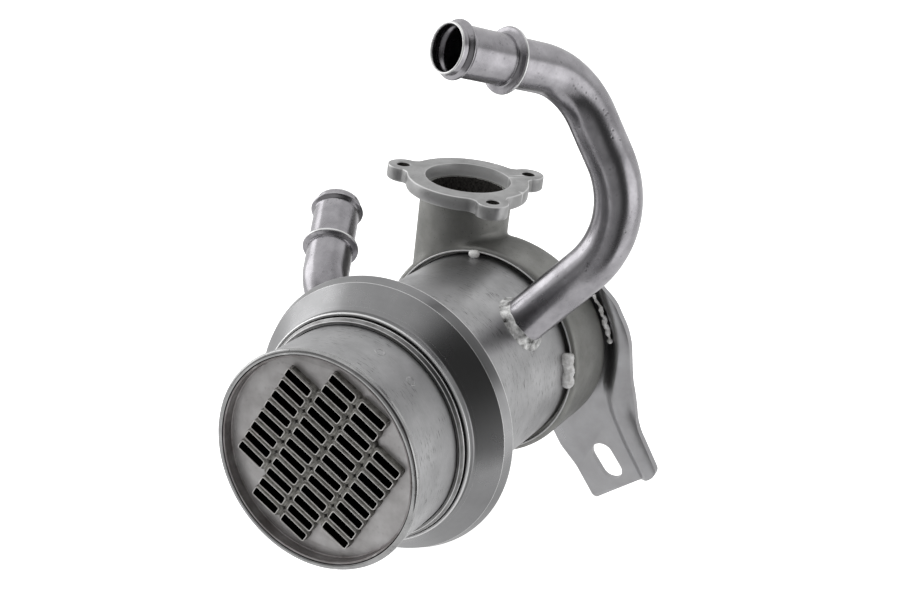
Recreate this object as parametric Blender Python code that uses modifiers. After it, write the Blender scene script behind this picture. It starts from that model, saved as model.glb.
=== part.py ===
"""Exhaust gas cooler: flat gas tubes in a round steel shell, a cast outlet and two coolant pipes.

Gas enters at the front mouth (low Y), runs along +Y through the tubes, is turned upwards in the
cast outlet housing and leaves through the three-lug flange on top. Coolant enters and leaves
the shell through the two bent pipes. +Z is the flange's normal. The origin is the centre of the
mouth's rolled rim.
"""
import math

import bmesh
import bpy
from mathutils import Matrix, Vector

MM = 0.001
TURN = 2.0 * math.pi
SEAT_GAP = 0.3 * MM
MERGE = 0.00001
CUT_MARGIN = 1.0 * MM

# Shell: one round tube with a rolled rim at the mouth
SHELL_R = 45.0 * MM
SHELL_WALL = 1.2 * MM
SHELL_LENGTH = 137.5 * MM
RIM_BEAD_R = 1.4 * MM
RIM_STAND_OUT = 1.0 * MM
PORT_CUT_REACH = 6.0 * MM

# Gas tubes: rounded flat tubes in four columns, the outer two columns shorter; the grid is sized
# by shares of the tube sheet's radius
COLUMN_PITCH_SHARE = 0.35862
ROW_PITCH_SHARE = 0.14023
COLUMN_GAP = 2.4 * MM
ROW_GAP = 1.5 * MM
TUBE_CORNER = 1.1 * MM
TUBE_WALL = 0.45 * MM
TUBE_FRONT_Y = 0.6 * MM
TUBE_STAND_PROUD = 3.0 * MM
COLUMN_ROWS = (8, 12, 12, 8)
GRID_TURN = math.radians(26.8)

# Tube sheets: pressed cups whose flange lies against the shell
SHEET_THICKNESS = 1.5 * MM
SHEET_FLANGE = 0.9 * MM
SHEET_FLANGE_DEPTH = 4.6 * MM
SHEET_CORNER = 1.6 * MM
REAR_SHEET_INSET = 10.5 * MM

# Seat ring and conical collar on the shell
RING_Y = 31.5 * MM
RING_LENGTH = 5.0 * MM
RING_STAND_OUT = 1.9 * MM
COLLAR_Y = 34.0 * MM
COLLAR_RECESS_DEPTH = 2.8 * MM
COLLAR_RECESS_GAP = 0.8 * MM
HUB_WALL = 1.3 * MM
HUB_FILLET = 1.0 * MM
HUB_LENGTH = 4.8 * MM
HUB_FRONT_ROUND = 1.04 * MM
CONE_LENGTH = 8.2 * MM
COLLAR_STAND_OUT = 14.5 * MM
COLLAR_CHAMFER = 1.8 * MM
COLLAR_EDGE = 4.4 * MM
COLLAR_BACK = 5.0 * MM
BACK_EDGE = 1.2 * MM

# Cast outlet housing: a cup over the shell's rear end, its back face sloping
LIP_OVERLAP = 4.2 * MM
LIP_STAND_OUT = 2.1 * MM
LIP_GROOVE = 1.5 * MM
LIP_GROOVE_DEPTH = 3.0 * MM
LIP_ROUND = 2.7 * MM
HOUSING_STAND_OUT = 4.2 * MM
HOUSING_DEPTH = 39.0 * MM
HOUSING_EDGE = 10.0 * MM
HOUSING_WALL = 3.6 * MM
BACK_SLOPE = 0.2
CHAMBER_FLARE = 8.0 * MM
SHELL_STOP = 1.0 * MM
SEAT_CUT_OVERLAP = 0.5 * MM

# Outlet neck and its flange
NECK_INSET = 3.7 * MM
NECK_BEHIND_LIP = 0.4 * MM
NECK_R = 20.8 * MM
NECK_WALL = 3.1 * MM
NECK_FOOT_Z = 8.0 * MM
FLANGE_RISE = 21.8 * MM
FLANGE_R = 27.9 * MM
FLANGE_THICKNESS = 6.5 * MM
OUTLET_R = 19.4 * MM
OUTLET_DEPTH = 6.8 * MM
LUG_R = 7.2 * MM
LUG_PITCH_R = 31.3 * MM
LUG_ANGLES = (-169.8, -41.4, 55.3)
LUG_BLEND = math.radians(7.0)
BOLT_HOLE_R = 3.0 * MM

# Coolant pipes: bent tube with a formed bead and stop ring at the hose end
PIPE_R = 10.0 * MM
PIPE_WALL = 1.0 * MM
PIPE_REACH_IN = 1.4 * MM
PIPE_LIP_LENGTH = 1.2 * MM
PIPE_LIP_DROP = 0.35 * MM
PIPE_LIP_FLARE = 0.1 * MM
BEAD_RISE = 1.6 * MM
BEAD_WIDTH = 4.4 * MM
BEAD_FROM_END = 4.6 * MM
STOP_WIDTH = 3.4 * MM
LONG_STOP_RISE = 3.2 * MM
SHORT_STOP_RISE = 2.2 * MM
LONG_STOP_FROM_END = 29.5 * MM
SHORT_STOP_FROM_END = 27.0 * MM
LONG_BASE_ANGLE = math.radians(46.0)
LONG_BASE_INSET = 29.0 * MM
LONG_LEGS = (
    (0.619, 0.101, 0.779, 68.6 * MM),
    (-0.492, -0.156, 0.856, 67.4 * MM),
    (-0.424, -0.875, 0.232, 66.2 * MM),
)
LONG_BENDS = (44.5 * MM, 34.0 * MM)
SHORT_BASE_ANGLE = math.radians(143.0)
SHORT_BASE_Y = 71.4 * MM
SHORT_LEGS = (
    (-0.799, 0.0, 0.602, 13.0 * MM),
    (-0.402, 0.807, 0.442, 52.7 * MM),
)
SHORT_BENDS = (24.0 * MM,)
BRAZE_WIDTH = 2.8 * MM
LONG_BRAZE_HEIGHT = 3.6 * MM
SHORT_BRAZE_HEIGHT = 2.0 * MM
BRAZE_SECTION = ((0.0, 0.0), (1.0, 0.0), (1.0, 0.25), (0.4, 0.5), (0.0, 1.0))

# Pressed bracket, in the plane of the housing's sloping back
BRACKET_THICKNESS = 2.5 * MM
RIB_HEIGHT = 5.0 * MM
RIB_FLANK = 8.5 * MM
RIB_EDGE_SLOPE = 0.75
RIB_ROUND = 4.0 * MM
RIB_INNER_STEPS = (1.0, 0.8, 0.6, 0.4, 0.2, 0.0)
RIB_OUTER_STEPS = (1.5 * MM, 3.0 * MM, 5.0 * MM, 7.5 * MM, 10.5 * MM)
BRACKET_INSET = 0.5 * MM
BRACKET_BLANK_DEPTH = 40.0 * MM
SLOT_WIDTH = 11.2 * MM
SLOT_LENGTH = 20.0 * MM
SLOT_AT = (2.25 * MM, -61.3 * MM)
SLOT_ANGLE = math.radians(-54.0)
# Bracket outline, rib ridge and inner limit: millimetres outwards from the housing's side and
# upwards, and each outline corner's radius
BRACKET_CORNERS = (
    (-9.0, 42.0, 5.0), (1.6, 31.0, 20.0), (9.9, 14.0, 20.0), (12.2, -12.0, 20.0), (16.6, -34.0, 20.0),
    (29.4, -56.9, 4.0), (-2.8, -86.0, 2.5), (-26.0, -55.0, 12.0), (-38.0, -34.0, 10.0), (-38.0, 22.0, 10.0),
)
RIB_RIDGE = (
    (-8.4, 47.0), (-4.4, 36.0), (1.5, 22.8), (5.2, 10.5), (6.1, -4.0), (5.6, -17.0),
    (7.6, -27.0), (11.7, -36.0), (17.7, -46.8), (25.4, -59.4), (29.0, -65.5),
)
WEB_INNER = (
    (-43.0, 48.0), (-43.0, 36.0), (-43.0, 22.0), (-43.0, 8.0), (-43.0, -8.0), (-43.0, -24.0),
    (-43.0, -38.0), (-36.0, -50.0), (-27.0, -62.0), (-16.0, -78.0), (-8.0, -92.0),
)

# Welds
WELD_R = 1.5 * MM
WELD_RISE = 5.6 * MM
BRACKET_WELD_ANGLES = (math.radians(10.0), math.radians(37.0))
WELD_STEPS = 10
WELD_END_SHARE = 0.55
TACK_R = 2.0 * MM
TACK_ANGLE = math.radians(98.0)
LONG_TACK_ANGLES = (math.radians(-13.0), math.radians(9.0))

# Facets
ROUND_STEPS = 40
NECK_STEPS = 28
BOLT_HOLE_SIDES = 12
PIPE_SIDES = 16
BEND_STEP = math.radians(12.0)

# Sizes that follow from the ones above
SHELL_BORE_R = SHELL_R - SHELL_WALL
SHELL_FIT_R = SHELL_R + SEAT_GAP
SHEET_R = SHELL_BORE_R - SEAT_GAP
SHEET_CUT_DEPTH = 4.0 * SHEET_THICKNESS
COLUMN_PITCH = COLUMN_PITCH_SHARE * SHEET_R
ROW_PITCH = ROW_PITCH_SHARE * SHEET_R
TUBE_WIDTH = COLUMN_PITCH - COLUMN_GAP
TUBE_HEIGHT = ROW_PITCH - ROW_GAP
FRONT_SHEET_Y = TUBE_FRONT_Y + TUBE_STAND_PROUD
REAR_SHEET_Y = SHELL_LENGTH - REAR_SHEET_INSET
COLLAR_R = SHELL_FIT_R + COLLAR_STAND_OUT
LIP_Y = SHELL_LENGTH - LIP_OVERLAP
LIP_R = SHELL_FIT_R + LIP_STAND_OUT
HOUSING_R = SHELL_FIT_R + HOUSING_STAND_OUT
TUBE_END_Y = REAR_SHEET_Y + SHEET_THICKNESS + TUBE_STAND_PROUD
HOUSING_BACK_Y = LIP_Y + HOUSING_DEPTH
CHAMBER_R = LIP_R - HOUSING_WALL
CHAMBER_Y = SHELL_LENGTH + SHELL_STOP
CHAMBER_DEPTH = HOUSING_BACK_Y - CHAMBER_Y
NECK_X = NECK_R + NECK_INSET - HOUSING_R
NECK_Y = LIP_Y + NECK_BEHIND_LIP + NECK_R
FLANGE_Z = HOUSING_R + FLANGE_RISE
LONG_BASE_Y = SHELL_LENGTH - LONG_BASE_INSET
BRACKET_Y = HOUSING_BACK_Y + SEAT_GAP
BRACKET_WELD_R = HOUSING_R + SEAT_GAP + WELD_R


def clear_scene():
    for item in list(bpy.data.objects):
        bpy.data.objects.remove(item, do_unlink=True)


def new_collection(name):
    group = bpy.data.collections.new(name)
    bpy.context.scene.collection.children.link(group)
    return group


def metal(name, colour, roughness, metallic=1.0):
    """A plain metal for one kind of surface."""
    finish = bpy.data.materials.new(name)
    finish.use_nodes = True
    shader = finish.node_tree.nodes["Principled BSDF"]
    shader.inputs["Base Color"].default_value = (*colour, 1.0)
    shader.inputs["Roughness"].default_value = roughness
    shader.inputs["Metallic"].default_value = metallic
    return finish


def add_object(name, data, group, finish=None):
    item = bpy.data.objects.new(name, data)
    group.objects.link(item)
    if finish:
        data.materials.append(finish)
    return item


def add_cutter(name, data):
    """A solid that only cuts or bounds another: drawn as wire and never rendered."""
    item = add_object(name, data, CUTTERS)
    item.hide_render = True
    item.display_type = "WIRE"
    return item


def boolean(item, other, operation):
    step = item.modifiers.new(operation.lower(), "BOOLEAN")
    step.operation = operation
    step.solver = "EXACT"
    step.object = other


def mesh_of(item, name):
    """The finished mesh of an object, in world space; the object itself is removed."""
    bpy.context.view_layer.update()
    data = bpy.data.meshes.new_from_object(item.evaluated_get(bpy.context.evaluated_depsgraph_get()))
    data.name = name
    data.transform(item.matrix_world)
    shape = bmesh.new()
    shape.from_mesh(data)
    bmesh.ops.remove_doubles(shape, verts=shape.verts, dist=MERGE)
    shape.to_mesh(data)
    shape.free()
    bpy.data.objects.remove(item, do_unlink=True)
    return data


def merge_flat_faces(data):
    shape = bmesh.new()
    shape.from_mesh(data)
    bmesh.ops.dissolve_limit(shape, angle_limit=math.radians(0.5), verts=shape.verts, edges=shape.edges)
    shape.to_mesh(data)
    shape.free()


def shade_round(data):
    data.shade_smooth()
    data.set_sharp_from_angle(angle=math.radians(35.0))


def mesh_from_faces(name, points, faces):
    data = bpy.data.meshes.new(name)
    data.from_pydata(points, [], faces)
    return data


def arc(centre, radius, start, end, count):
    """Points of an arc in a profile plane, angles in degrees."""
    points = []
    for i in range(count):
        angle = math.radians(start + (end - start) * i / (count - 1))
        points.append((centre[0] + radius * math.cos(angle), centre[1] + radius * math.sin(angle)))
    return points


def turned(name, profile, steps=ROUND_STEPS, closed=True, upright_at=None):
    """A turned mesh from (radius, height) points that run down its outer side.

    It turns about the cooler's Y axis, with height as y, or about an upright axis at a point.
    An open profile starts and ends on the axis, and its flat ends become single faces.
    """
    data = bpy.data.meshes.new(name + "_profile")
    count = len(profile)
    edges = [(i, i + 1) for i in range(count - 1)]
    if closed:
        edges.append((count - 1, 0))
    data.from_pydata([(radius, 0.0, y) for radius, y in profile], edges, [])
    item = add_object(name + "_profile", data, PARTS)
    screw = item.modifiers.new("turn", "SCREW")
    screw.axis = "Z"
    screw.angle = TURN
    screw.steps = steps
    screw.render_steps = steps
    screw.use_merge_vertices = True
    screw.merge_threshold = MERGE
    if upright_at:
        item.location = upright_at
    else:
        item.rotation_euler = (-math.pi / 2.0, 0.0, 0.0)
    data = mesh_of(item, name)
    if not closed:
        merge_flat_faces(data)
    return data


def flat_outline(name, loops, depth, matrix):
    """A plate from closed outlines (holes inside it), in the XY plane of matrix, centred in depth."""
    data = bpy.data.curves.new(name, "CURVE")
    data.dimensions = "2D"
    data.fill_mode = "BOTH"
    data.extrude = depth / 2.0
    for loop in loops:
        spline = data.splines.new("POLY")
        spline.points.add(len(loop) - 1)
        for point, (x, y) in zip(spline.points, loop):
            point.co = (x, y, 0.0, 1.0)
        spline.use_cyclic_u = True
    item = add_object(name, data, PARTS)
    item.matrix_world = matrix
    return mesh_of(item, name)


def cylinder(name, radius, start, end, sides=ROUND_STEPS):
    """A plain cylinder between two points."""
    axis = end - start
    shape = bmesh.new()
    bmesh.ops.create_cone(shape, cap_ends=True, segments=sides, radius1=radius, radius2=radius,
                          depth=axis.length)
    turn = axis.to_track_quat("Z", "Y").to_matrix().to_4x4()
    bmesh.ops.transform(shape, matrix=Matrix.Translation((start + end) / 2.0) @ turn, verts=shape.verts)
    data = bpy.data.meshes.new(name)
    shape.to_mesh(data)
    shape.free()
    return data


def rounded_rectangle(width, height, radius, corner_points):
    """Outline of a rectangle with round corners, anticlockwise, about the origin."""
    points = []
    for index, (sx, sy) in enumerate(((1, 1), (-1, 1), (-1, -1), (1, -1))):
        centre = (sx * (width / 2.0 - radius), sy * (height / 2.0 - radius))
        points += arc(centre, radius, 90.0 * index, 90.0 * (index + 1), corner_points)
    return points


def placed(loop, centre, angle):
    """An outline turned by angle and moved to centre."""
    c, s = math.cos(angle), math.sin(angle)
    return [(centre[0] + c * x - s * y, centre[1] + s * x + c * y) for x, y in loop]


def round_corners(corners, points_per_corner=4):
    """Outline through corners given as (x, y, radius), each corner replaced by its arc."""
    outline = []
    for i, (x, y, radius) in enumerate(corners):
        here = Vector((x, y))
        before = (Vector(corners[i - 1][:2]) - here).normalized()
        after = (Vector(corners[(i + 1) % len(corners)][:2]) - here).normalized()
        half = before.angle(after) / 2.0
        middle = here + (before + after).normalized() * radius / math.sin(half)
        first = here + before * radius / math.tan(half) - middle
        last = here + after * radius / math.tan(half) - middle
        sweep = first.angle_signed(last)
        for k in range(points_per_corner):
            spoke = first.copy()
            spoke.rotate(Matrix.Rotation(-sweep * k / (points_per_corner - 1), 2))
            outline.append(tuple(middle + spoke))
    return outline


def cross_section(y):
    """Frame for an outline drawn across the cooler's axis: X stays, the outline's Y becomes Z."""
    return Matrix.Translation((0.0, y, 0.0)) @ Matrix.Rotation(math.pi / 2.0, 4, "X")


def tube_centres():
    """Centres of the gas tubes across the axis, column by column."""
    centres = []
    c, s = math.cos(GRID_TURN), math.sin(GRID_TURN)
    for column, rows in enumerate(COLUMN_ROWS):
        u = (column - (len(COLUMN_ROWS) - 1) / 2.0) * COLUMN_PITCH
        for row in range(rows):
            v = (row - (rows - 1) / 2.0) * ROW_PITCH
            centres.append((c * u + s * v, -s * u + c * v))
    return centres


def build_gas_tubes(finish):
    outer = rounded_rectangle(TUBE_WIDTH, TUBE_HEIGHT, TUBE_CORNER, 2)
    inner = rounded_rectangle(TUBE_WIDTH - 2 * TUBE_WALL, TUBE_HEIGHT - 2 * TUBE_WALL,
                              TUBE_CORNER - TUBE_WALL, 2)
    length = TUBE_END_Y - TUBE_FRONT_Y
    for index, centre in enumerate(tube_centres(), start=1):
        loops = [placed(loop, centre, -GRID_TURN) for loop in (outer, inner)]
        name = f"gas_tube_{index:02d}"
        data = flat_outline(name, loops, length, cross_section(TUBE_FRONT_Y + length / 2.0))
        add_object(name, data, PARTS, finish)


def tube_hole_cutter(name, y, depth):
    """One cutter with a clearance hole for each tube."""
    outline = rounded_rectangle(TUBE_WIDTH + 2 * SEAT_GAP, TUBE_HEIGHT + 2 * SEAT_GAP,
                                TUBE_CORNER + SEAT_GAP, 2)
    loops = [placed(outline, centre, -GRID_TURN) for centre in tube_centres()]
    return add_cutter(name, flat_outline(name, loops, depth, cross_section(y)))


def build_tube_sheet(name, face_y, flange_towards, finish):
    """A pressed cup: plate, round corner and flange, pierced for the tubes."""
    side = flange_towards
    plate = SHEET_THICKNESS / 2.0
    middle = face_y + plate
    rim = middle + side * (plate + SHEET_FLANGE_DEPTH)
    corner = arc((SHEET_R - SHEET_CORNER, middle - side * (plate - SHEET_CORNER)), SHEET_CORNER,
                 -90.0 * side, 0.0, 3)
    inside = (SHEET_R - SHEET_FLANGE, middle + side * plate)
    profile = [(0.0, middle - side * plate)] + corner
    profile += [(SHEET_R, rim), (SHEET_R - SHEET_FLANGE, rim), inside, (0.0, inside[1])]
    if side > 0:
        profile = profile[::-1]
    data = turned(name, profile, closed=False)
    item = add_object(name, data, PARTS, finish)
    boolean(item, tube_hole_cutter(name + "_holes", middle, SHEET_CUT_DEPTH), "DIFFERENCE")
    shade_round(data)


def build_shell(finish, ports):
    """Round shell with its rolled rim, pierced for the two coolant pipes."""
    bead_r = SHELL_R + RIM_STAND_OUT - RIM_BEAD_R
    outer_turn = math.degrees(math.acos((SHELL_R - bead_r) / RIM_BEAD_R))
    inner_turn = math.degrees(math.acos((SHELL_BORE_R - bead_r) / RIM_BEAD_R))
    bead = arc((bead_r, 0.0), RIM_BEAD_R, outer_turn, -inner_turn, 7)
    profile = [(SHELL_R, SHELL_LENGTH)] + bead + [(SHELL_BORE_R, SHELL_LENGTH)]
    data = turned("shell", profile)
    item = add_object("shell", data, PARTS, finish)
    for name, base, direction in ports:
        reach = direction * PORT_CUT_REACH
        cut = cylinder(name, PIPE_R + SEAT_GAP, base - reach, base + reach, PIPE_SIDES)
        boolean(item, add_cutter(name, cut), "DIFFERENCE")
    shade_round(data)


def build_seat_ring(finish):
    """Thin ring brazed round the shell in front of the collar, its front edge rounded."""
    outer = SHELL_FIT_R + RING_STAND_OUT
    edge = RING_STAND_OUT / 2.0
    front = arc((outer - edge, RING_Y + edge), edge, 0.0, -90.0, 3)
    profile = [(outer, RING_Y + RING_LENGTH)] + front
    profile += [(SHELL_FIT_R, RING_Y), (SHELL_FIT_R, RING_Y + RING_LENGTH)]
    data = turned("seat_ring", profile)
    add_object("seat_ring", data, PARTS, finish)
    shade_round(data)


def build_collar(finish):
    """Turned collar: hub with a recess for the seat ring, cone, chamfered edge and sloping back."""
    recess_r = SHELL_FIT_R + RING_STAND_OUT + COLLAR_RECESS_GAP
    hub_r = recess_r + HUB_WALL
    recess_y = max(COLLAR_Y + COLLAR_RECESS_DEPTH, RING_Y + RING_LENGTH + SEAT_GAP)
    cone_y = COLLAR_Y + HUB_LENGTH
    edge_y = cone_y + CONE_LENGTH
    widest_y = edge_y + COLLAR_EDGE
    back_y = widest_y + COLLAR_BACK
    profile = [(SHELL_FIT_R, back_y), (SHELL_FIT_R + HUB_WALL, back_y)]
    profile += [(COLLAR_R - BACK_EDGE, widest_y + BACK_EDGE), (COLLAR_R, widest_y)]
    profile += [(COLLAR_R - COLLAR_CHAMFER, edge_y)]
    profile += [(hub_r + HUB_FILLET, cone_y), (hub_r, cone_y - HUB_FILLET)]
    profile += arc((hub_r - HUB_FRONT_ROUND, COLLAR_Y + HUB_FRONT_ROUND), HUB_FRONT_ROUND, 0.0, -90.0, 3)
    profile += [(recess_r, COLLAR_Y), (recess_r, recess_y), (SHELL_FIT_R, recess_y)]
    data = turned("collar", profile)
    add_object("collar", data, PARTS, finish)
    shade_round(data)


def sheared(data, front_y, depth):
    """Slope the back of a turned cup: the further behind front_y, the more its top leans forwards."""
    for vertex in data.vertices:
        reach = min(max((vertex.co.y - front_y) / depth, 0.0), 1.0)
        vertex.co.y -= BACK_SLOPE * vertex.co.z * reach
    return data


def cup_profile(lip_r, side_r, front_y, back_y, lip_round, edge):
    """Profile of a solid cup, its lip drawn in and its rear edge rounded, from the axis at the back."""
    rounding = arc((side_r - edge, back_y - edge), edge, 90.0, 0.0, 6)
    widening = side_r - lip_r
    shoulder = [(side_r, front_y + lip_round), (side_r - 0.3 * widening, front_y + 0.35 * lip_round)]
    return [(0.0, back_y)] + rounding + shoulder + [(lip_r, front_y), (0.0, front_y)]


def flange_radius(angle):
    """Edge of the flange from its centre: the disc, or the nearest lug where that reaches further."""
    reach = FLANGE_R
    for lug in LUG_ANGLES:
        off = abs((angle - math.radians(lug) + math.pi) % TURN - math.pi)
        half = math.asin(LUG_R / LUG_PITCH_R)
        inner = min(off, half)
        aside = LUG_PITCH_R * math.sin(inner)
        edge = LUG_PITCH_R * math.cos(inner) + math.sqrt(max(LUG_R ** 2 - aside ** 2, 0.0))
        if off > half:
            fade = min((off - half) / LUG_BLEND, 1.0)
            edge = FLANGE_R + (edge - FLANGE_R) * (1.0 - fade) ** 2
        reach = max(reach, edge)
    return reach


def flange_outline():
    """Outline of the three-lug flange, with points gathered at the lugs."""
    angles = set()
    for lug in LUG_ANGLES:
        half = math.asin(LUG_R / LUG_PITCH_R)
        for k in range(-6, 7):
            angles.add((math.radians(lug) + half * math.sin(k * math.pi / 12.0)) % TURN)
        for k in (1, 2, 3):
            for side in (-1, 1):
                angles.add((math.radians(lug) + side * (half + LUG_BLEND * k / 3.0)) % TURN)
    for k in range(36):
        angle = k * TURN / 36.0
        if min(abs(angle - other) for other in angles) > math.radians(4.0):
            angles.add(angle)
    return [(flange_radius(a) * math.cos(a), flange_radius(a) * math.sin(a)) for a in sorted(angles)]


def neck_profile(radius, top_z):
    """Upright round neck whose foot is a half ball, so that it turns into the cup."""
    return [(0.0, top_z), (radius, top_z)] + arc((0.0, NECK_FOOT_Z), radius, 0.0, -90.0, 7)


def build_housing(finish):
    """Cast outlet: cup, neck and flange in one piece, hollow from the shell to the flange."""
    outside = cup_profile(LIP_R, HOUSING_R, LIP_Y, HOUSING_BACK_Y, LIP_ROUND, HOUSING_EDGE)
    cup = turned("outlet_housing", outside, closed=False)
    item = add_object("outlet_housing", sheared(cup, LIP_Y, HOUSING_DEPTH), PARTS, finish)
    neck_at = (NECK_X, NECK_Y, 0.0)
    neck = turned("neck_outside", neck_profile(NECK_R, FLANGE_Z - CUT_MARGIN), NECK_STEPS, False, neck_at)
    boolean(item, add_cutter("neck_outside", neck), "UNION")
    frame = Matrix.Translation((NECK_X, NECK_Y, FLANGE_Z - FLANGE_THICKNESS / 2.0))
    plate = flat_outline("flange_plate", [flange_outline()], FLANGE_THICKNESS, frame)
    boolean(item, add_cutter("flange_plate", plate), "UNION")

    chamber = cup_profile(CHAMBER_R, HOUSING_R - HOUSING_WALL, CHAMBER_Y, HOUSING_BACK_Y - HOUSING_WALL,
                          CHAMBER_FLARE, HOUSING_EDGE - HOUSING_WALL)
    inside = sheared(turned("chamber", chamber, NECK_STEPS, False), CHAMBER_Y, CHAMBER_DEPTH)
    boolean(item, add_cutter("chamber", inside), "DIFFERENCE")
    seat_end = CHAMBER_Y + SEAT_CUT_OVERLAP
    groove_end = LIP_Y + LIP_GROOVE_DEPTH
    front = LIP_Y - CUT_MARGIN
    seat = [(0.0, seat_end), (SHELL_FIT_R, seat_end), (SHELL_FIT_R, groove_end),
            (SHELL_FIT_R + LIP_GROOVE, groove_end), (SHELL_FIT_R + LIP_GROOVE, front), (0.0, front)]
    boolean(item, add_cutter("shell_seat", turned("shell_seat", seat, closed=False)), "DIFFERENCE")
    above = FLANGE_Z + CUT_MARGIN
    bore = [(0.0, above), (OUTLET_R, above), (OUTLET_R, FLANGE_Z - OUTLET_DEPTH)]
    bore += neck_profile(NECK_R - NECK_WALL, FLANGE_Z - OUTLET_DEPTH)[1:]
    cut = turned("outlet_bore", bore, NECK_STEPS, False, neck_at)
    boolean(item, add_cutter("outlet_bore", cut), "DIFFERENCE")
    for index, lug in enumerate(LUG_ANGLES, start=1):
        at = Vector((NECK_X, NECK_Y, FLANGE_Z))
        at += Vector((math.cos(math.radians(lug)), math.sin(math.radians(lug)), 0.0)) * LUG_PITCH_R
        down = Vector((0.0, 0.0, 2.0 * FLANGE_THICKNESS))
        name = f"bolt_hole_{index}"
        hole = cylinder(name, BOLT_HOLE_R, at + down, at - down, BOLT_HOLE_SIDES)
        boolean(item, add_cutter(name, hole), "DIFFERENCE")
    shade_round(item.data)


def base_on_shell(angle, y):
    """Point on the shell's outside at an angle from +X towards +Z."""
    return Vector((math.cos(angle) * SHELL_R, y, math.sin(angle) * SHELL_R))


def corners_from_legs(base, legs):
    """Corner points of a pipe's centre line from its straight legs, each a direction and a length."""
    corners = [base]
    for x, y, z, length in legs:
        corners.append(corners[-1] + Vector((x, y, z)).normalized() * length)
    return corners


def bent_route(corners, bends):
    """Centre line with an arc at each inner corner: points, tangents and distances from the start."""
    points = [corners[0]]
    tangents = [(corners[1] - corners[0]).normalized()]
    for i, radius in enumerate(bends, start=1):
        coming = (corners[i] - corners[i - 1]).normalized()
        going = (corners[i + 1] - corners[i]).normalized()
        turn = coming.angle(going)
        start = corners[i] - coming * radius * math.tan(turn / 2.0)
        inwards = (going - coming * going.dot(coming)).normalized()
        steps = math.ceil(turn / BEND_STEP)
        for k in range(steps + 1):
            angle = turn * k / steps
            forwards = coming * radius * math.sin(angle)
            points.append(start + forwards + inwards * radius * (1.0 - math.cos(angle)))
            tangents.append((coming * math.cos(angle) + inwards * math.sin(angle)).normalized())
    points.append(corners[-1])
    tangents.append((corners[-1] - corners[-2]).normalized())
    return points, tangents


def bump(distance, width):
    """A smooth rise from 0 at half a width away to 1 at the middle."""
    reach = abs(distance) / (width / 2.0)
    return 0.5 + 0.5 * math.cos(math.pi * reach) if reach < 1.0 else 0.0


def hose_end_radius(from_end, stop_from_end, stop_rise):
    """Outside radius of a pipe near its hose end: rounded lip, bead, plain length, stop ring."""
    radius = PIPE_R + BEAD_RISE * bump(from_end - BEAD_FROM_END, BEAD_WIDTH)
    radius += stop_rise * bump(from_end - stop_from_end, STOP_WIDTH)
    return radius


def build_pipe(name, corners, bends, stop_from_end, stop_rise, finish):
    """Bent tube carried along its route as rings, the wall pushed out at the bead and the stop ring."""
    points, tangents = bent_route(corners, bends)
    end = points.pop()
    tangent = tangents.pop()
    start_in = points[0] - tangents[0] * (SHELL_WALL + PIPE_REACH_IN)
    points[0] = start_in
    stations = [(point, way, PIPE_R, PIPE_R - PIPE_WALL) for point, way in zip(points, tangents)]
    marks = [stop_from_end + STOP_WIDTH * part for part in (0.5, 0.22, 0.0, -0.22, -0.5)]
    marks += [BEAD_FROM_END + BEAD_WIDTH * part for part in (0.5, 0.25, 0.0, -0.25, -0.5)]
    marks.append(PIPE_LIP_LENGTH)
    for mark in marks:
        outer = hose_end_radius(mark, stop_from_end, stop_rise)
        inner = outer - PIPE_WALL if mark < BEAD_FROM_END + BEAD_WIDTH else PIPE_R - PIPE_WALL
        stations.append((end - tangent * mark, tangent, outer, inner))
    stations.append((end, tangent, PIPE_R - PIPE_LIP_DROP, PIPE_R - PIPE_WALL + PIPE_LIP_FLARE))

    side = tangents[0].orthogonal().normalized()
    outsides = []
    insides = []
    for centre, way, outer, inner in stations:
        side = (side - way * side.dot(way)).normalized()
        across = way.cross(side)
        spokes = []
        for k in range(PIPE_SIDES):
            angle = TURN * k / PIPE_SIDES
            spokes.append(side * math.cos(angle) + across * math.sin(angle))
        outsides.append([centre + spoke * outer for spoke in spokes])
        insides.append([centre + spoke * inner for spoke in spokes])
    loops = outsides + insides[::-1]
    add_object(name, closed_loops(name, loops), PARTS, finish)


def closed_loops(name, loops):
    """A ring-shaped surface through equal loops of points, the last loop joined to the first."""
    count = len(loops[0])
    total = len(loops)
    points = [point for loop in loops for point in loop]
    faces = []
    for i in range(total):
        j = (i + 1) % total
        for k in range(count):
            n = (k + 1) % count
            faces.append((i * count + k, i * count + n, j * count + n, j * count + k))
    data = mesh_from_faces(name, points, faces)
    shape = bmesh.new()
    shape.from_mesh(data)
    bmesh.ops.recalc_face_normals(shape, faces=shape.faces)
    shape.to_mesh(data)
    shape.free()
    shade_round(data)
    return data


def point_on_shell(base, way, spoke, radius):
    """Where a line along the pipe, at a spoke from its axis, meets a cylinder about the Y axis."""
    origin = base + spoke
    a = way.x ** 2 + way.z ** 2
    b = origin.x * way.x + origin.z * way.z
    c = origin.x ** 2 + origin.z ** 2 - radius ** 2
    return origin + way * ((-b + math.sqrt(b * b - a * c)) / a)


def build_braze(name, base, way, height, finish):
    """Fillet of braze round the foot of a pipe, following the shell's curve."""
    inner = PIPE_R + SEAT_GAP
    side = way.orthogonal().normalized()
    across = way.cross(side)
    loops = []
    for out, rise in BRAZE_SECTION:
        radius = inner + BRAZE_WIDTH * out
        loop = []
        for k in range(PIPE_SIDES):
            angle = TURN * k / PIPE_SIDES
            spoke = (side * math.cos(angle) + across * math.sin(angle)) * radius
            loop.append(point_on_shell(base, way, spoke, SHELL_FIT_R + rise * height))
        loops.append(loop)
    add_object(name, closed_loops(name, loops), PARTS, finish)


def bracket_frame():
    """Plane just behind the housing's sloping back, its Z towards the front."""
    lean = math.pi / 2.0 + math.atan(BACK_SLOPE)
    return Matrix.Translation((0.0, BRACKET_Y, 0.0)) @ Matrix.Rotation(lean, 4, "X")


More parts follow.
